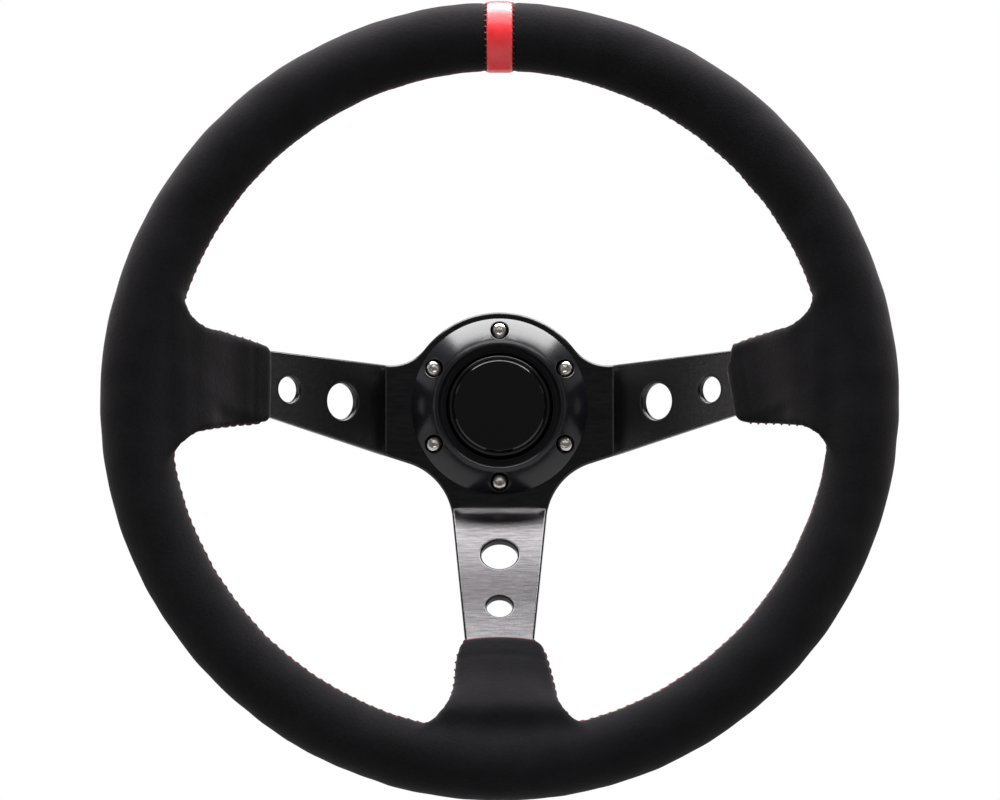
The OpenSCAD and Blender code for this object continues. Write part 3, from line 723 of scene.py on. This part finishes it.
net = net_points()
net = net[in_metal(net, [inset_loop(loop, edge_rows[0][0] + 0.5) for loop in loops])]
flat_points = np.concatenate(borders + [net])
edges, first = [], 0
for loop in borders:
    k = np.arange(len(loop))
    edges.append(np.stack([k, np.roll(k, -1)], 1) + first)
    first += len(loop)
edges = np.concatenate(edges)
found = delaunay_2d_cdt(
    [Vector(p) for p in flat_points.tolist()], edges.tolist(), [], 0, 1e-7
)
flat_points = np.array([tuple(v) for v in found[0]])
triangles = np.array(found[2])
triangles = triangles[in_metal(flat_points[triangles].mean(1), borders)]
parts = [
    (pressed(flat_points, PLATE_T / 2), triangles),
    (pressed(flat_points, -PLATE_T / 2), triangles[:, ::-1]),
]
for loop in loops:
    wall = np.concatenate([pressed(inset_loop(loop, inset), off) for inset, off in edge_rows])
    parts.append((wall, grid(len(edge_rows), len(loop))))
piece(
    "spoke_plate", parts, plate_finish, "wheel", ["spoke_frame"]
)

# %% [markdown]
# The cover is one padded skin: an oval ring, and at each spoke a flat sleeve that runs into it with a soft
# hollow on both sides. Such a skin is easiest to say as a distance: how far a point is from the oval, how
# far from each sleeve, and a smooth minimum that rounds the hollow where they meet. A coarse union of the
# four bodies is remeshed in 1.25 mm voxels, and each of its points is then walked to where the distance is
# nought.
# %% The cover as a distance
HEM_BAND = 10.0
SLEEVE_LEN = 39.0
HEM_X = RIM_IN - SLEEVE_LEN
SHARES = np.array([-0.2, 0, 0.13, 0.22, 0.3, 0.5, 0.66, 0.8, 0.92, 1.1, 1.4])
# How far the skin's edge stands beyond the plate's edge, from the hem to the rim
RIGHT_TOP = np.array([1.2, 2.4, 4.0, 4.8, 5.5, 6.7, 7.0, 10.6, 16, 22, 26])
RIGHT_LOW = np.array([1.0, 1.6, 4.2, 5.7, 7.0, 9.7, 12.4, 14.7, 19, 28, 36])
LEFT_TOP = np.array([1.2, 2.0, 3.4, 4.2, 4.9, 6.3, 6.2, 8.6, 14, 21, 26])
LEFT_LOW = np.array([1.0, 2.2, 4.8, 6.3, 7.7, 11.2, 14.4, 17.6, 23, 32, 38])
FOOT_RIGHT = np.array([1.2, 2.4, 4.7, 6.4, 7.7, 10.4, 12.1, 14.8, 20.5, 29, 36])
FOOT_LEFT = np.array([0.8, 1.4, 2.6, 4.6, 5.2, 6.4, 8.2, 11.6, 17, 27, 34])


def eased(x, xs, ys):
    """A line through the points (xs, ys) whose corners are softened by averaging it over 4 mm."""
    return np.mean([np.interp(x + d, xs, ys) for d in np.linspace(-2, 2, 7)], 0)


def smooth_min(a, b, k):
    """The smaller of two distances, with the corner between them filled over a width k."""
    h = np.maximum(k - np.abs(a - b), 0)
    return np.minimum(a, b) - h * h / (4 * k)


def smooth_step(x, low, high):
    """0 below low, 1 above high, and t t (3 - 2 t) between."""
    t = np.clip((x - low) / (high - low), 0, 1)
    return t * t * (3 - 2 * t)


class Sleeve:
    """A sleeve on one spoke: turn puts bench points into u along the spoke and v across it."""

    def __init__(self, sheet, turn, top, low, margins, hem, slant, bow=0.0):
        self.sheet, self.turn, self.top, self.low = sheet, turn, top, low
        self.margins, self.hem, self.slant, self.bow = margins, hem, slant, bow

    def edges(self, u):
        """Across the spoke, where the cover's two side edges lie at plan distance u."""
        xs = HEM_X + SHARES * SLEEVE_LEN
        return (
            self.low(u) - eased(u, xs, self.margins[0]),
            self.top(u) + eased(u, xs, self.margins[1]),
        )

    def local(self, p):
        """Length along the slope from its lower corner, place across, and height square to the sheet, which
        is the slope's up to the rim and the flat tab's beyond."""
        q = p @ self.turn.T
        du, dz = q[:, 0] - self.sheet.corner, q[:, 2] - (PLATE_FRONT - PLATE_T / 2)
        c, s = np.cos(self.sheet.angle), np.sin(self.sheet.angle)
        off = -smooth_min(du * s - dz * c, DISH - dz, 3.0)
        return du * c + dz * s, q[:, 1], off

    def hem_at(self, v):
        """Length along the slope where the hem lies, for each place across."""
        u = self.hem - self.slant * v + self.bow * v * v
        return (u - self.sheet.corner) / np.cos(self.sheet.angle)

    def distance(self, p):
        """Distance to a flat bag with rounded edges: across, along and square to the slope."""
        s, v, n = self.local(p)
        u = self.sheet.corner + s * np.cos(self.sheet.angle)
        low, high = self.edges(u)
        from_hem = s - self.hem_at(v)
        pulled = 0.3 * (1 - np.abs(np.sin(np.pi * s / STITCH))) * smooth_step(from_hem, 0, 3)
        across = np.abs(v - (low + high) / 2) - (high - low) / 2 + pulled
        plan = rounded_min(across, -from_hem, 4.0)
        band = 0.18 * (1 - smooth_step(from_hem, HEM_BAND - 2.4, HEM_BAND + 0.4))
        crease = 0.1 * np.exp(-(((from_hem - HEM_BAND - 0.4) / 1.3) ** 2))
        swell = 4.0 * smooth_step(from_hem, 16, 42)
        beyond = np.maximum(v - self.top(u), self.low(u) - v)
        pinch = 1.1 * smooth_step(beyond, 0.5, 7)
        thick = 3.75 + band - crease + swell - pinch * (1 - smooth_step(from_hem, 26, 36))
        past = (p @ self.turn.T)[:, 0] - (RIM_R - 3)
        return np.maximum(rounded_min(plan, np.abs(n) - thick, 2.4), past)


def rounded_min(a, b, r):
    """Distance to the meeting of two slabs whose corner is rounded to r."""
    a, b = a + r, b + r
    out = np.hypot(np.maximum(a, 0), np.maximum(b, 0))
    return out + np.minimum(np.maximum(a, b), 0) - r


def turned_by(degrees, mirror=1.0):
    """Bench to spoke coordinates: a turn about the axis, and a mirror for the left side."""
    c, s = np.cos(np.radians(degrees)), np.sin(np.radians(degrees))
    return np.array([[c * mirror, s, 0], [-s * mirror, c, 0], [0, 0, 1.0]])


sleeves = [
    Sleeve(side_sheet, turned_by(0), side_top, side_low, (RIGHT_LOW, RIGHT_TOP), 106.3, 0.16),
    Sleeve(side_sheet, turned_by(0, -1), side_top, side_low, (LEFT_LOW, LEFT_TOP), 104.4, 0.0),
    Sleeve(
        bottom_sheet,
        turned_by(-90),
        bottom_half,
        lambda u: -bottom_half(u),
        (FOOT_LEFT, FOOT_RIGHT),
        HEM_X + 0.9,
        0.0,
        0.005,
    ),
]
rng = np.random.default_rng(7)
WAVES = rng.normal(size=(14, 3))
WAVES = unit(WAVES) * (2 * np.pi / rng.uniform(9, 34, size=(14, 1)))
PHASES = rng.uniform(0, 2 * np.pi, 14)
STITCH = 4.2
MARKER_HALF = 5.6


def cover_distance(p):
    """Oval ring and three sleeves joined, less the seam's valley and the slow ripple of a hand-laid skin."""
    rho = np.hypot(p[:, 0], p[:, 1])
    q, w = (rho - RIM_R) / (GRIP_W / 2), (p[:, 2] - RIM_Z) / (GRIP_T / 2)
    k = np.hypot(q, w)
    d = k * (k - 1) / np.maximum(np.hypot(q / (GRIP_W / 2), w / (GRIP_T / 2)), 1e-9)
    on_seam = np.exp(-(((p[:, 2] - RIM_Z) / 1.7) ** 2)) * (rho < RIM_R)
    round_rim = np.arctan2(p[:, 1], p[:, 0]) * RIM_IN
    puckers = np.abs(np.sin(np.pi * round_rim / STITCH))
    d += on_seam * (0.75 - 0.4 * puckers)
    beside = np.exp(-(((np.abs(p[:, 0]) - MARKER_HALF - 0.6) / 0.9) ** 2)) * (p[:, 1] > 0)
    d += 0.55 * beside
    for sleeve in sleeves:
        d = smooth_min(d, sleeve.distance(p), 7.0)
    ripple = np.sin(p @ WAVES.T + PHASES).sum(1)
    return d + 0.035 * ripple


def slope_of(p, h=0.05):
    """Central differences of the distance, which point outwards."""
    steps = np.eye(3) * h
    pairs = [cover_distance(p + e) - cover_distance(p - e) for e in steps]
    return np.stack(pairs, 1) / (2 * h)


def onto_cover(p, rounds=4):
    """Walks points to the skin: each step is the distance along its slope."""
    for _ in range(rounds):
        g = slope_of(p)
        p = p - (cover_distance(p) / np.maximum((g * g).sum(1), 0.1))[:, None] * g
    return p


# %% [markdown]
# The coarse union only has to be near: a ring and three slabs.
# %% Suede cover
VOXEL = 1.25
oval = np.linspace(0, 2 * np.pi, 37)[:-1]
section = np.stack([RIM_R + GRIP_W / 2 * np.cos(oval), RIM_Z + GRIP_T / 2 * np.sin(oval)], 1)
rough_parts = [turned(section, 240)]
for sleeve in sleeves:
    u = np.linspace(sleeve.hem, RIM_R - 6, 30)
    low, high = sleeve.edges(u)
    rise = np.minimum((u - sleeve.sheet.corner) * np.tan(sleeve.sheet.angle), DISH)
    middle_z = PLATE_FRONT - PLATE_T / 2 + rise
    t = 3.7 / np.cos(sleeve.sheet.angle)
    ring = np.stack(
        [
            np.stack([u, v, middle_z + off], 1)
            for v, off in ((low, -t), (high, -t), (high, t), (low, t))
        ],
        1,
    )
    slab = ring.reshape(-1, 3) @ sleeve.turn
    caps = [np.arange(4)[None, ::-1], len(slab) - 4 + np.arange(4)[None]]
    rough_parts.append((slab, [grid(len(u), 4), *caps]))
cover = piece("suede_cover", rough_parts, suede, "wheel", weld=False)
remesh = cover.modifiers.new("voxels", "REMESH")
remesh.mode = "VOXEL"
remesh.voxel_size = VOXEL * MM
even = bpy.data.meshes.new_from_object(cover.evaluated_get(bpy.context.evaluated_depsgraph_get()))
cover.modifiers.clear()
cover.data = even
co = np.empty(len(even.vertices) * 3, np.float32)
even.vertices.foreach_get("co", co)
co = co.reshape(-1, 3).astype(float)
p = np.stack([co[:, 0], co[:, 2], -co[:, 1]], 1) / MM
ends = np.empty(len(even.edges) * 2, np.int32)
even.edges.foreach_get("vertices", ends)
ends = np.concatenate([ends.reshape(-1, 2), ends.reshape(-1, 2)[:, ::-1]])
degree = np.bincount(ends[:, 0], minlength=len(p))[:, None]
p = onto_cover(p)
for _ in range(12):
    around = np.stack([np.bincount(ends[:, 0], p[ends[:, 1], i], len(p)) for i in range(3)], 1)
    p = onto_cover(0.5 * p + 0.5 * around / degree, 1)
p = onto_cover(p, 2)
even.vertices.foreach_set("co", stand(p).astype(np.float32).ravel())
even.update()
even.shade_smooth()
even.materials.clear()
even.materials.append(suede)
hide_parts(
    "grip_cover_left", "grip_cover_right", "sleeve_left", "sleeve_right", "sleeve_bottom"
)
print("cover", len(p), "points", "off by", np.abs(cover_distance(p)).max().round(3))

# %% [markdown]
# The bezel is turned from bar, domed, and bored for six screws.
# %% Bezel
DOME_R, BEZEL_H, WELL_R = 60.0, 12.0, 4.25
dome_foot, dome_top = np.array([41.0, 3.0]), np.array([29.2, BEZEL_H])
half_chord = (dome_foot - dome_top) / 2
away = np.array([half_chord[1], -half_chord[0]]) / np.hypot(*half_chord)
dome_centre = (dome_foot + dome_top) / 2 + away * np.sqrt(DOME_R**2 - half_chord @ half_chord)


def dome(r):
    """Height at radius r: an arc of 60 mm from foot to top, eased into the flat crest beside the window."""
    arc_h = dome_centre[1] + np.sqrt(np.maximum(DOME_R**2 - (r - dome_centre[0]) ** 2, 0))
    return smooth_min(arc_h, BEZEL_H + 0 * r, 1.2)


def holed_face(height, r_in, r_out, hole_r, lip, depth, count=6, pitch_r=35.0, start=90.0, across=24, tall=8):
    """A ring-shaped face with a round well at each screw. Round each screw, points run from the well's
    edge to the border of its sixth of the ring; the height comes from the face's own formula."""
    half = np.pi / count
    t = np.linspace(-half, half, across + 1)
    r = np.linspace(r_out, r_in, tall + 1)
    border = np.concatenate(
        [
            np.stack([np.full(across, r_out), t[:-1]], 1),
            np.stack([r[:-1], np.full(tall, half)], 1),
            np.stack([np.full(across, r_in), t[:0:-1]], 1),
            np.stack([r[:0:-1], np.full(tall, -half)], 1),
        ]
    )
    border = np.stack([border[:, 0] * np.cos(border[:, 1]), border[:, 0] * np.sin(border[:, 1])], 1)
    away = unit(border - [pitch_r, 0])
    rim = [pitch_r, 0] + (hole_r + lip) * away
    share = (np.linspace(0, 1, 9) ** 1.4)[:, None, None]
    face = border * (1 - share) + rim * share
    z = height(np.linalg.norm(face, axis=2))
    rows = [np.concatenate([face, z[..., None]], 2)]
    a = np.radians(np.linspace(15, 90, 6))[:, None]
    edge = hole_r + lip * (1 - np.sin(a))
    rows.append(
        np.stack(
            [
                pitch_r + edge * away[:, 0],
                edge * away[:, 1],
                z[-1] - lip * (1 - np.cos(a)) + 0 * edge,
            ],
            2,
        )
    )
    floor_at = np.array(
        [[hole_r, depth + 0.5], [hole_r - 0.15, depth + 0.15], [hole_r - 0.5, depth], [0, depth]]
    )
    rows.append(
        np.stack(
            [
                pitch_r + floor_at[:, :1] * away[:, 0],
                floor_at[:, :1] * away[:, 1],
                floor_at[:, 1:] + 0 * away[:, 0],
            ],
            2,
        )
    )
    points = np.concatenate(rows)
    cells = grid(len(points), len(border))
    parts = []
    for k in range(count):
        angle = np.radians(start + k * 360 / count)
        c, s = np.cos(angle), np.sin(angle)
        spin = np.array([[c, s, 0], [-s, c, 0], [0, 0, 1]])
        parts.append((points.reshape(-1, 3) @ spin, cells))
    return parts


bezel_outside = rounded(
    [
        (40.35, dome(40.35)),
        (41, 3),
        (41, 0),
        (27.8, 0),
        (27.8, 3.3),
        (25.8, 3.3),
        (25.8, 4.6),
        (27.8, 4.6),
        (27.8, dome(28.8) - 1.0),
        (28.8, dome(28.8)),
        (29.9, dome(29.9)),
    ],
    [0, 0.9, 0.4, 0.2, 0.2, 0.2, 0.2, 0.2, 0.35, 0.5, 0],
)
bezel_parts = [turned(bezel_outside, 144, closed=False, start=np.radians(30))]
bezel_parts += holed_face(dome, 29.9, 40.35, WELL_R, 0.3, 2.5)
bezel_parts = [(points + [0, 0, PLATE_FRONT], faces) for points, faces in bezel_parts]
piece("bezel", bezel_parts, bezel_finish, "wheel", ["horn_bezel"])

# %% [markdown]
# Socket screws are cold-headed: a round head with a soft edge and a hexagon pressed into it, nickel plated.
# %% Bezel screws
HEX = 3.0
sides_at = np.radians(np.arange(72) * 5.0)
hexagon = HEX / 2 / np.cos((sides_at + np.pi / 6) % (np.pi / 3) - np.pi / 6)
screw_rows = np.array(
    [
        # radius, height, how much of a hexagon
        (0, -14, 0), (1.5, -14, 0), (2, -13.5, 0), (2, -0.05, 0), (2, 0, 0), (3.35, 0, 0),
        (3.5, 0.15, 0), (3.5, 0.4, 0), (3.5, 2.5, 0), (3.48, 2.72, 0), (3.4, 3.0, 0), (3.24, 3.3, 0),
        (3.0, 3.56, 0), (2.7, 3.76, 0), (2.4, 3.88, 0), (2.1, 3.95, 0), (1.9, 3.97, 0), (1.16, 3.97, 1),
        (1.06, 3.93, 1), (1.0, 3.82, 1), (1.0, 3.7, 1), (1.0, 1.9, 1), (0.96, 1.8, 1), (0, 1.2, 1),
    ]
)
ring_r = screw_rows[:, :1] * np.where(screw_rows[:, 2:] > 0, hexagon, 1)
screw_points = np.stack(
    [ring_r * np.cos(sides_at), ring_r * np.sin(sides_at), screw_rows[:, 1:2] + 0 * sides_at], 2
).reshape(-1, 3)
screw_cells = grid(len(screw_rows), len(sides_at))
turns_of_key = np.radians([8, 41, -17, 23, 55, 30])
parts = []
for a, key in zip(screw_angles, turns_of_key):
    c, s = np.cos(key), np.sin(key)
    spin = np.array([[c, s, 0], [-s, c, 0], [0, 0, 1]])
    at = np.array([35 * np.cos(a), 35 * np.sin(a), PLATE_FRONT + 2.5])
    parts.append((screw_points @ spin + at, screw_cells))
piece("socket_screws", parts, nickel, "wheel", ["bezel_screws"], sharp=35.0)

# %% [markdown]
# The horn push sits in a thin lip ring. Both are turned shapes with soft edges.
# %% Horn ring and cap
ring_line = rounded(
    [
        (22.6, 2), (27.2, 2), (27.2, 3.2), (24.4, 3.2), (23.1, 11.5),
        (21.8, 11.5), (21.8, 7.65), (22.6, 7.65),
    ],
    [0.1, 0.2, 0.2, 0.8, 0.6, 0.5, 0.1, 0.1],
    closed=True,
)
points, faces = turned(ring_line, 180)
ring = piece(
    "horn_lip_ring",
    [(points + [0, 0, PLATE_FRONT], faces)],
    ring_plastic,
    "wheel",
    ["horn_ring"],
)
CAP_R, CAP_H, CROWN = 21.5, 12.7, 0.5
crown_r = (CAP_R**2 + CROWN**2) / (2 * CROWN)


def crown(r):
    """Height of the cap's shallow crown: a sphere through its edge and its peak."""
    return CAP_H + CROWN - crown_r + np.sqrt(crown_r**2 - r**2)


CHAMFER = 0.9
top_r = np.linspace(CAP_R - CHAMFER - 0.5, 0, 24)
cap_line = np.concatenate(
    [
        rounded(
            [
                (0, 10), (19.7, 10), (19.7, 6), (22.3, 6), (22.3, 7.5), (21.5, 7.5),
                (CAP_R, crown(CAP_R) - CHAMFER), (CAP_R - CHAMFER, crown(CAP_R - CHAMFER)),
                (CAP_R - CHAMFER - 0.5, crown(CAP_R - CHAMFER - 0.5)),
            ],
            [0, 0.3, 0.2, 0.2, 0.2, 0.1, 0.3, 0.3, 0],
            steps=6,
        )[:-1],
        np.stack([top_r, crown(top_r)], 1),
    ]
)
points, faces = turned(cap_line, 144, closed=False)
piece(
    "horn_push_cap",
    [(points + [0, 0, PLATE_FRONT], faces)],
    cap_plastic,
    "horn_button",
    ["horn_cap"],
)

# %% [markdown]
# The seam runs round the inside of the rim and along both edges of every sleeve, and it is sewn with a whip
# stitch: each loop of thread goes over the joint of the two edges and leans the way the sewing went. A line
# is laid on the skin first, and every loop is a short thread walked onto the skin across that line.
# %% The seam's line


def spaced(line, step):
    """Points at even steps along an open line in space."""
    at = np.concatenate([[0], np.cumsum(np.linalg.norm(np.diff(line, axis=0), axis=1))])
    even = np.linspace(0, at[-1], int(round(at[-1] / step)) + 1)
    return np.stack([np.interp(even, at, line[:, i]) for i in range(3)], 1)


def sleeve_edge(sleeve, side):
    """The middle of a sleeve's side edge (0 low, 1 high), from its hem out to the rim's inner circle."""
    u = np.linspace(sleeve.hem - 6, RIM_IN + 2, 120)
    v = sleeve.edges(u)[side]
    from_hem = u - (sleeve.hem - sleeve.slant * v + sleeve.bow * v * v)
    rise = np.clip((u - sleeve.sheet.corner) * np.tan(sleeve.sheet.angle), 0, DISH)
    line = np.stack([u, v, PLATE_FRONT - PLATE_T / 2 + rise], 1)
    kept = (from_hem > 1.2) & (np.hypot(u, v) < RIM_IN - 0.5)
    return line[kept] @ sleeve.turn


def seam_line(start, end):
    """Two sleeve edges joined by the rim's inner circle, smoothed while it is kept on the skin."""
    a0, a1 = (np.arctan2(line[-1, 1], line[-1, 0]) for line in (start, end))
    a = np.linspace(a0, a0 + (a1 - a0) % (2 * np.pi), 160)[2:-2]
    rim = np.stack([RIM_IN * np.cos(a), RIM_IN * np.sin(a), RIM_Z + 0 * a], 1)
    line = onto_cover(spaced(np.concatenate([start, rim, end[::-1]]), 1.4))
    for _ in range(24):
        line[1:-1] = (line[:-2] + 2 * line[1:-1] + line[2:]) / 4
        line = onto_cover(line, 1)
    return line


right, left, foot = sleeves
seams = [
    seam_line(sleeve_edge(right, 1), sleeve_edge(left, 1)),
    seam_line(sleeve_edge(left, 0), sleeve_edge(foot, 0)),
    seam_line(sleeve_edge(foot, 1), sleeve_edge(right, 0)),
]
print("seams", [len(line) for line in seams])

# %% [markdown]
# Bonded nylon thread of about 1 mm is used. Both ends of a loop dive into the needle's holes, so the
# thread's middle stands proud and its ends are hidden. A hem cord of the same thread closes the bottom
# sleeve on the metal.
# %% Whip stitches
THREAD_R = 0.5


def loops_over(line, pitch, half, lean, radius=THREAD_R, rows=7, sides=6, lift=0.1):
    """Threads laid over a line: w runs from -1 to 1 across it, w half (cross cos lean + along sin lean) is
    walked onto the skin, and its height over the skin is lift less 0.9 w^4."""
    at = spaced(line, pitch)[1:-1]
    along = unit(np.gradient(at, axis=0))
    out = unit(slope_of(at))
    across = np.cross(out, along)
    w = np.linspace(-1, 1, rows)[None, :, None]
    way = across * np.cos(lean) + along * np.sin(lean)
    path = at[:, None] + w * half * way[:, None]
    flat = onto_cover(path.reshape(-1, 3), 3)
    up = unit(slope_of(flat)).reshape(path.shape)
    path = flat.reshape(path.shape) + up * (lift - 0.9 * w**4)
    ahead = unit(np.gradient(path, axis=1))
    first = unit(np.cross(up, ahead))
    second = np.cross(ahead, first)
    b = np.arange(sides) * 2 * np.pi / sides
    ring = first[:, :, None] * np.cos(b)[:, None] + second[:, :, None] * np.sin(b)[:, None]
    points = path[:, :, None] + radius * ring
    one = grid(rows, sides)
    cells = (one[None] + (np.arange(len(at)) * rows * sides)[:, None, None]).reshape(-1, 4)
    ends = np.arange(sides)[None] + (np.arange(len(at)) * rows * sides)[:, None]
    return points.reshape(-1, 3), [cells, ends[:, ::-1], ends + (rows - 1) * sides]


def hem_cord(sleeve):
    """A thread round the plate at the hem: a rounded box in (v, n), carried at the hem's own length s."""
    mid_u = sleeve.hem
    low, high = sleeve.low(mid_u) - 0.3, sleeve.top(mid_u) + 0.3
    box = rounded([(low, -2.4), (high, -2.4), (high, 2.4), (low, 2.4)], 0.8, steps=4, closed=True)
    box = resampled(box, 1.0)
    v, n = box[:, 0], box[:, 1]
    s = sleeve.hem_at(v) + 0.1
    c, k = np.cos(sleeve.sheet.angle), np.sin(sleeve.sheet.angle)
    x = sleeve.sheet.corner + s * c - n * k
    z = PLATE_FRONT - PLATE_T / 2 + s * k + n * c
    path = np.stack([x, v, z], 1) @ sleeve.turn
    aside = np.broadcast_to(np.array([c, 0, k]) @ sleeve.turn, path.shape)
    return tube(path, aside, 0.42, sides=8, closed=True)


whip = [loops_over(line, STITCH, 2.1, np.radians(35)) for line in seams]
whip.append(hem_cord(foot))
piece("whip_stitching", whip, thread, "wheel", ["rim_stitching"], weld=False)

# %% [markdown]
# The marker is a strip of leather wrapped once round the grip at twelve o'clock. Its two ends meet on the
# inner seam, where the stitches pull them down, and its long edges are sewn to the suede with small stitches
# of dark red thread. That thread is painted darker than the rim's thread, as painted shade of the hollow
# beside the marker where the stitches lie.
# %% Centre marker
MARKER_T = 0.75


def around_grip(share):
    """Section point (rho, z) and its outward normal on the grip's oval; share 0 and 1 are the inner seam."""
    a = np.pi + 2 * np.pi * share
    at = np.stack([RIM_R + GRIP_W / 2 * np.cos(a), RIM_Z + GRIP_T / 2 * np.sin(a)], -1)
    return at, unit(np.stack([np.cos(a) / GRIP_W, np.sin(a) / GRIP_T], -1))


def marker_skin(share, w, h):
    """Section point moved out by h, then set at x = w: y = sqrt(rho^2 - w^2)."""
    at, out = around_grip(share)
    section = at + h[..., None] * out
    rho, z = section[..., 0], section[..., 1]
    return np.stack([w + 0 * rho, np.sqrt(rho**2 - w**2), z], -1)


turns = (np.arange(132) + 0.5)[:, None] / 132
w = MARKER_HALF * np.sin(np.linspace(-np.pi / 2, np.pi / 2, 19))[None]
girth = np.pi * (GRIP_W + GRIP_T) / 2
from_ends = np.minimum(turns, 1 - turns) * girth
pulled_in = 0.85 * np.exp(-((from_ends / 1.3) ** 2))
round_shoulder = np.sqrt(np.clip(1 - np.abs(w / MARKER_HALF) ** 5, 0, 1))
dimples = 0.1 * np.abs(np.sin(np.pi * turns * girth / 3.0)) * np.abs(w / MARKER_HALF) ** 4
outside = MARKER_T * (1 - pulled_in) * round_shoulder - 0.1 + dimples
upper = marker_skin(turns, w + 0 * turns, outside)
under = marker_skin(turns, (w + 0 * turns)[:, ::-1], -0.6 + 0 * outside)
strip = np.concatenate([upper, under], 1)
piece(
    "centre_strip",
    [(strip.reshape(-1, 3), grid(len(turns), strip.shape[1], True))],
    leather,
    "wheel",
    ["centre_marker"],
)
edge_turns = np.linspace(0.02, 0.98, 200)
edge_lines = [
    marker_skin(edge_turns, side * (MARKER_HALF + 0.05) + 0 * edge_turns, 0 * edge_turns) for side in (-1, 1)
]
edge_loops = [
    loops_over(line[::order], 2.9, 1.15, np.radians(24), radius=0.34, lift=0.3)
    for line, order in zip(edge_lines, (1, -1))
]
piece("marker_stitching", edge_loops, crevice_shaded_thread, "wheel", weld=False)

# %% [markdown]
# Two coil springs do the returning: one lifts the horn cap, the other pushes the release collar back. Each
# is a wire carried along a helix whose pitch closes at both ends, so that the end coils seat flat.
# %% Springs


def coil(radius, wire, turns, low, high):
    """Helix (r cos a, r sin a, h): h rises by an eased share of the length, flat over the end half turns."""
    t = np.linspace(0, 1, int(turns * 40) + 1)
    a = 2 * np.pi * turns * t
    rest = 0.45 / turns
    share = np.clip((t - rest) / (1 - 2 * rest), 0, 1)
    share = 0.85 * share + 0.15 * share * share * (3 - 2 * share)
    h = low + wire / 2 + (high - low - wire) * share
    path = np.stack([radius * np.cos(a), radius * np.sin(a), h], 1)
    return tube(path, np.broadcast_to([0, 0, 1.0], path.shape), wire / 2, sides=12)


horn_low, horn_high = (v / MM for v in (-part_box("horn_spring")[1][1], -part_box("horn_spring")[0][1]))
horn_coil = piece(
    "horn_return_spring",
    [coil(12.5, 1.2, 3.5, horn_low, horn_high)],
    spring_steel,
    "wheel",
    ["horn_spring"],
)
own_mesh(horn_coil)
coil_low, coil_high = (v / MM for v in (-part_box("collar_spring")[1][1], -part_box("collar_spring")[0][1]))
collar_coil = piece(
    "collar_return_spring",
    [coil(25.45, 1.5, 4, coil_low, coil_high)],
    spring_steel,
    "wheel",
    ["collar_spring"],
)
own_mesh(collar_coil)

# %% [markdown]
# The parts that keep their exact CAD shape get their finish on their own material slots.
# %% Finishes on the exact parts
FINISHES = {
    "rim_ring": ring_steel,
    "ring_lugs": ring_steel,
    "spoke_rivets": rivet_aluminium,
    "foam_grip": foam,
    "horn_housing": housing_plastic,
    "contact_disc": brass,
    "contact_stud": brass,
    "earth_terminal": brass,
    "coupling_body": coupling_finish,
    "spline_sleeve": spline_steel,
    "release_collar": collar_finish,
    "snap_ring": spring_steel,
}
for name, node in frame["nodes"].items():
    if node.hide_render:
        continue
    finish = FINISHES.get(name, ball_steel)
    node.data.materials.clear()
    node.data.materials.append(finish)

# %% Size of the finished wheel
low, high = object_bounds()
print("visual box", [round(v, 4) for v in (*low, *high)])
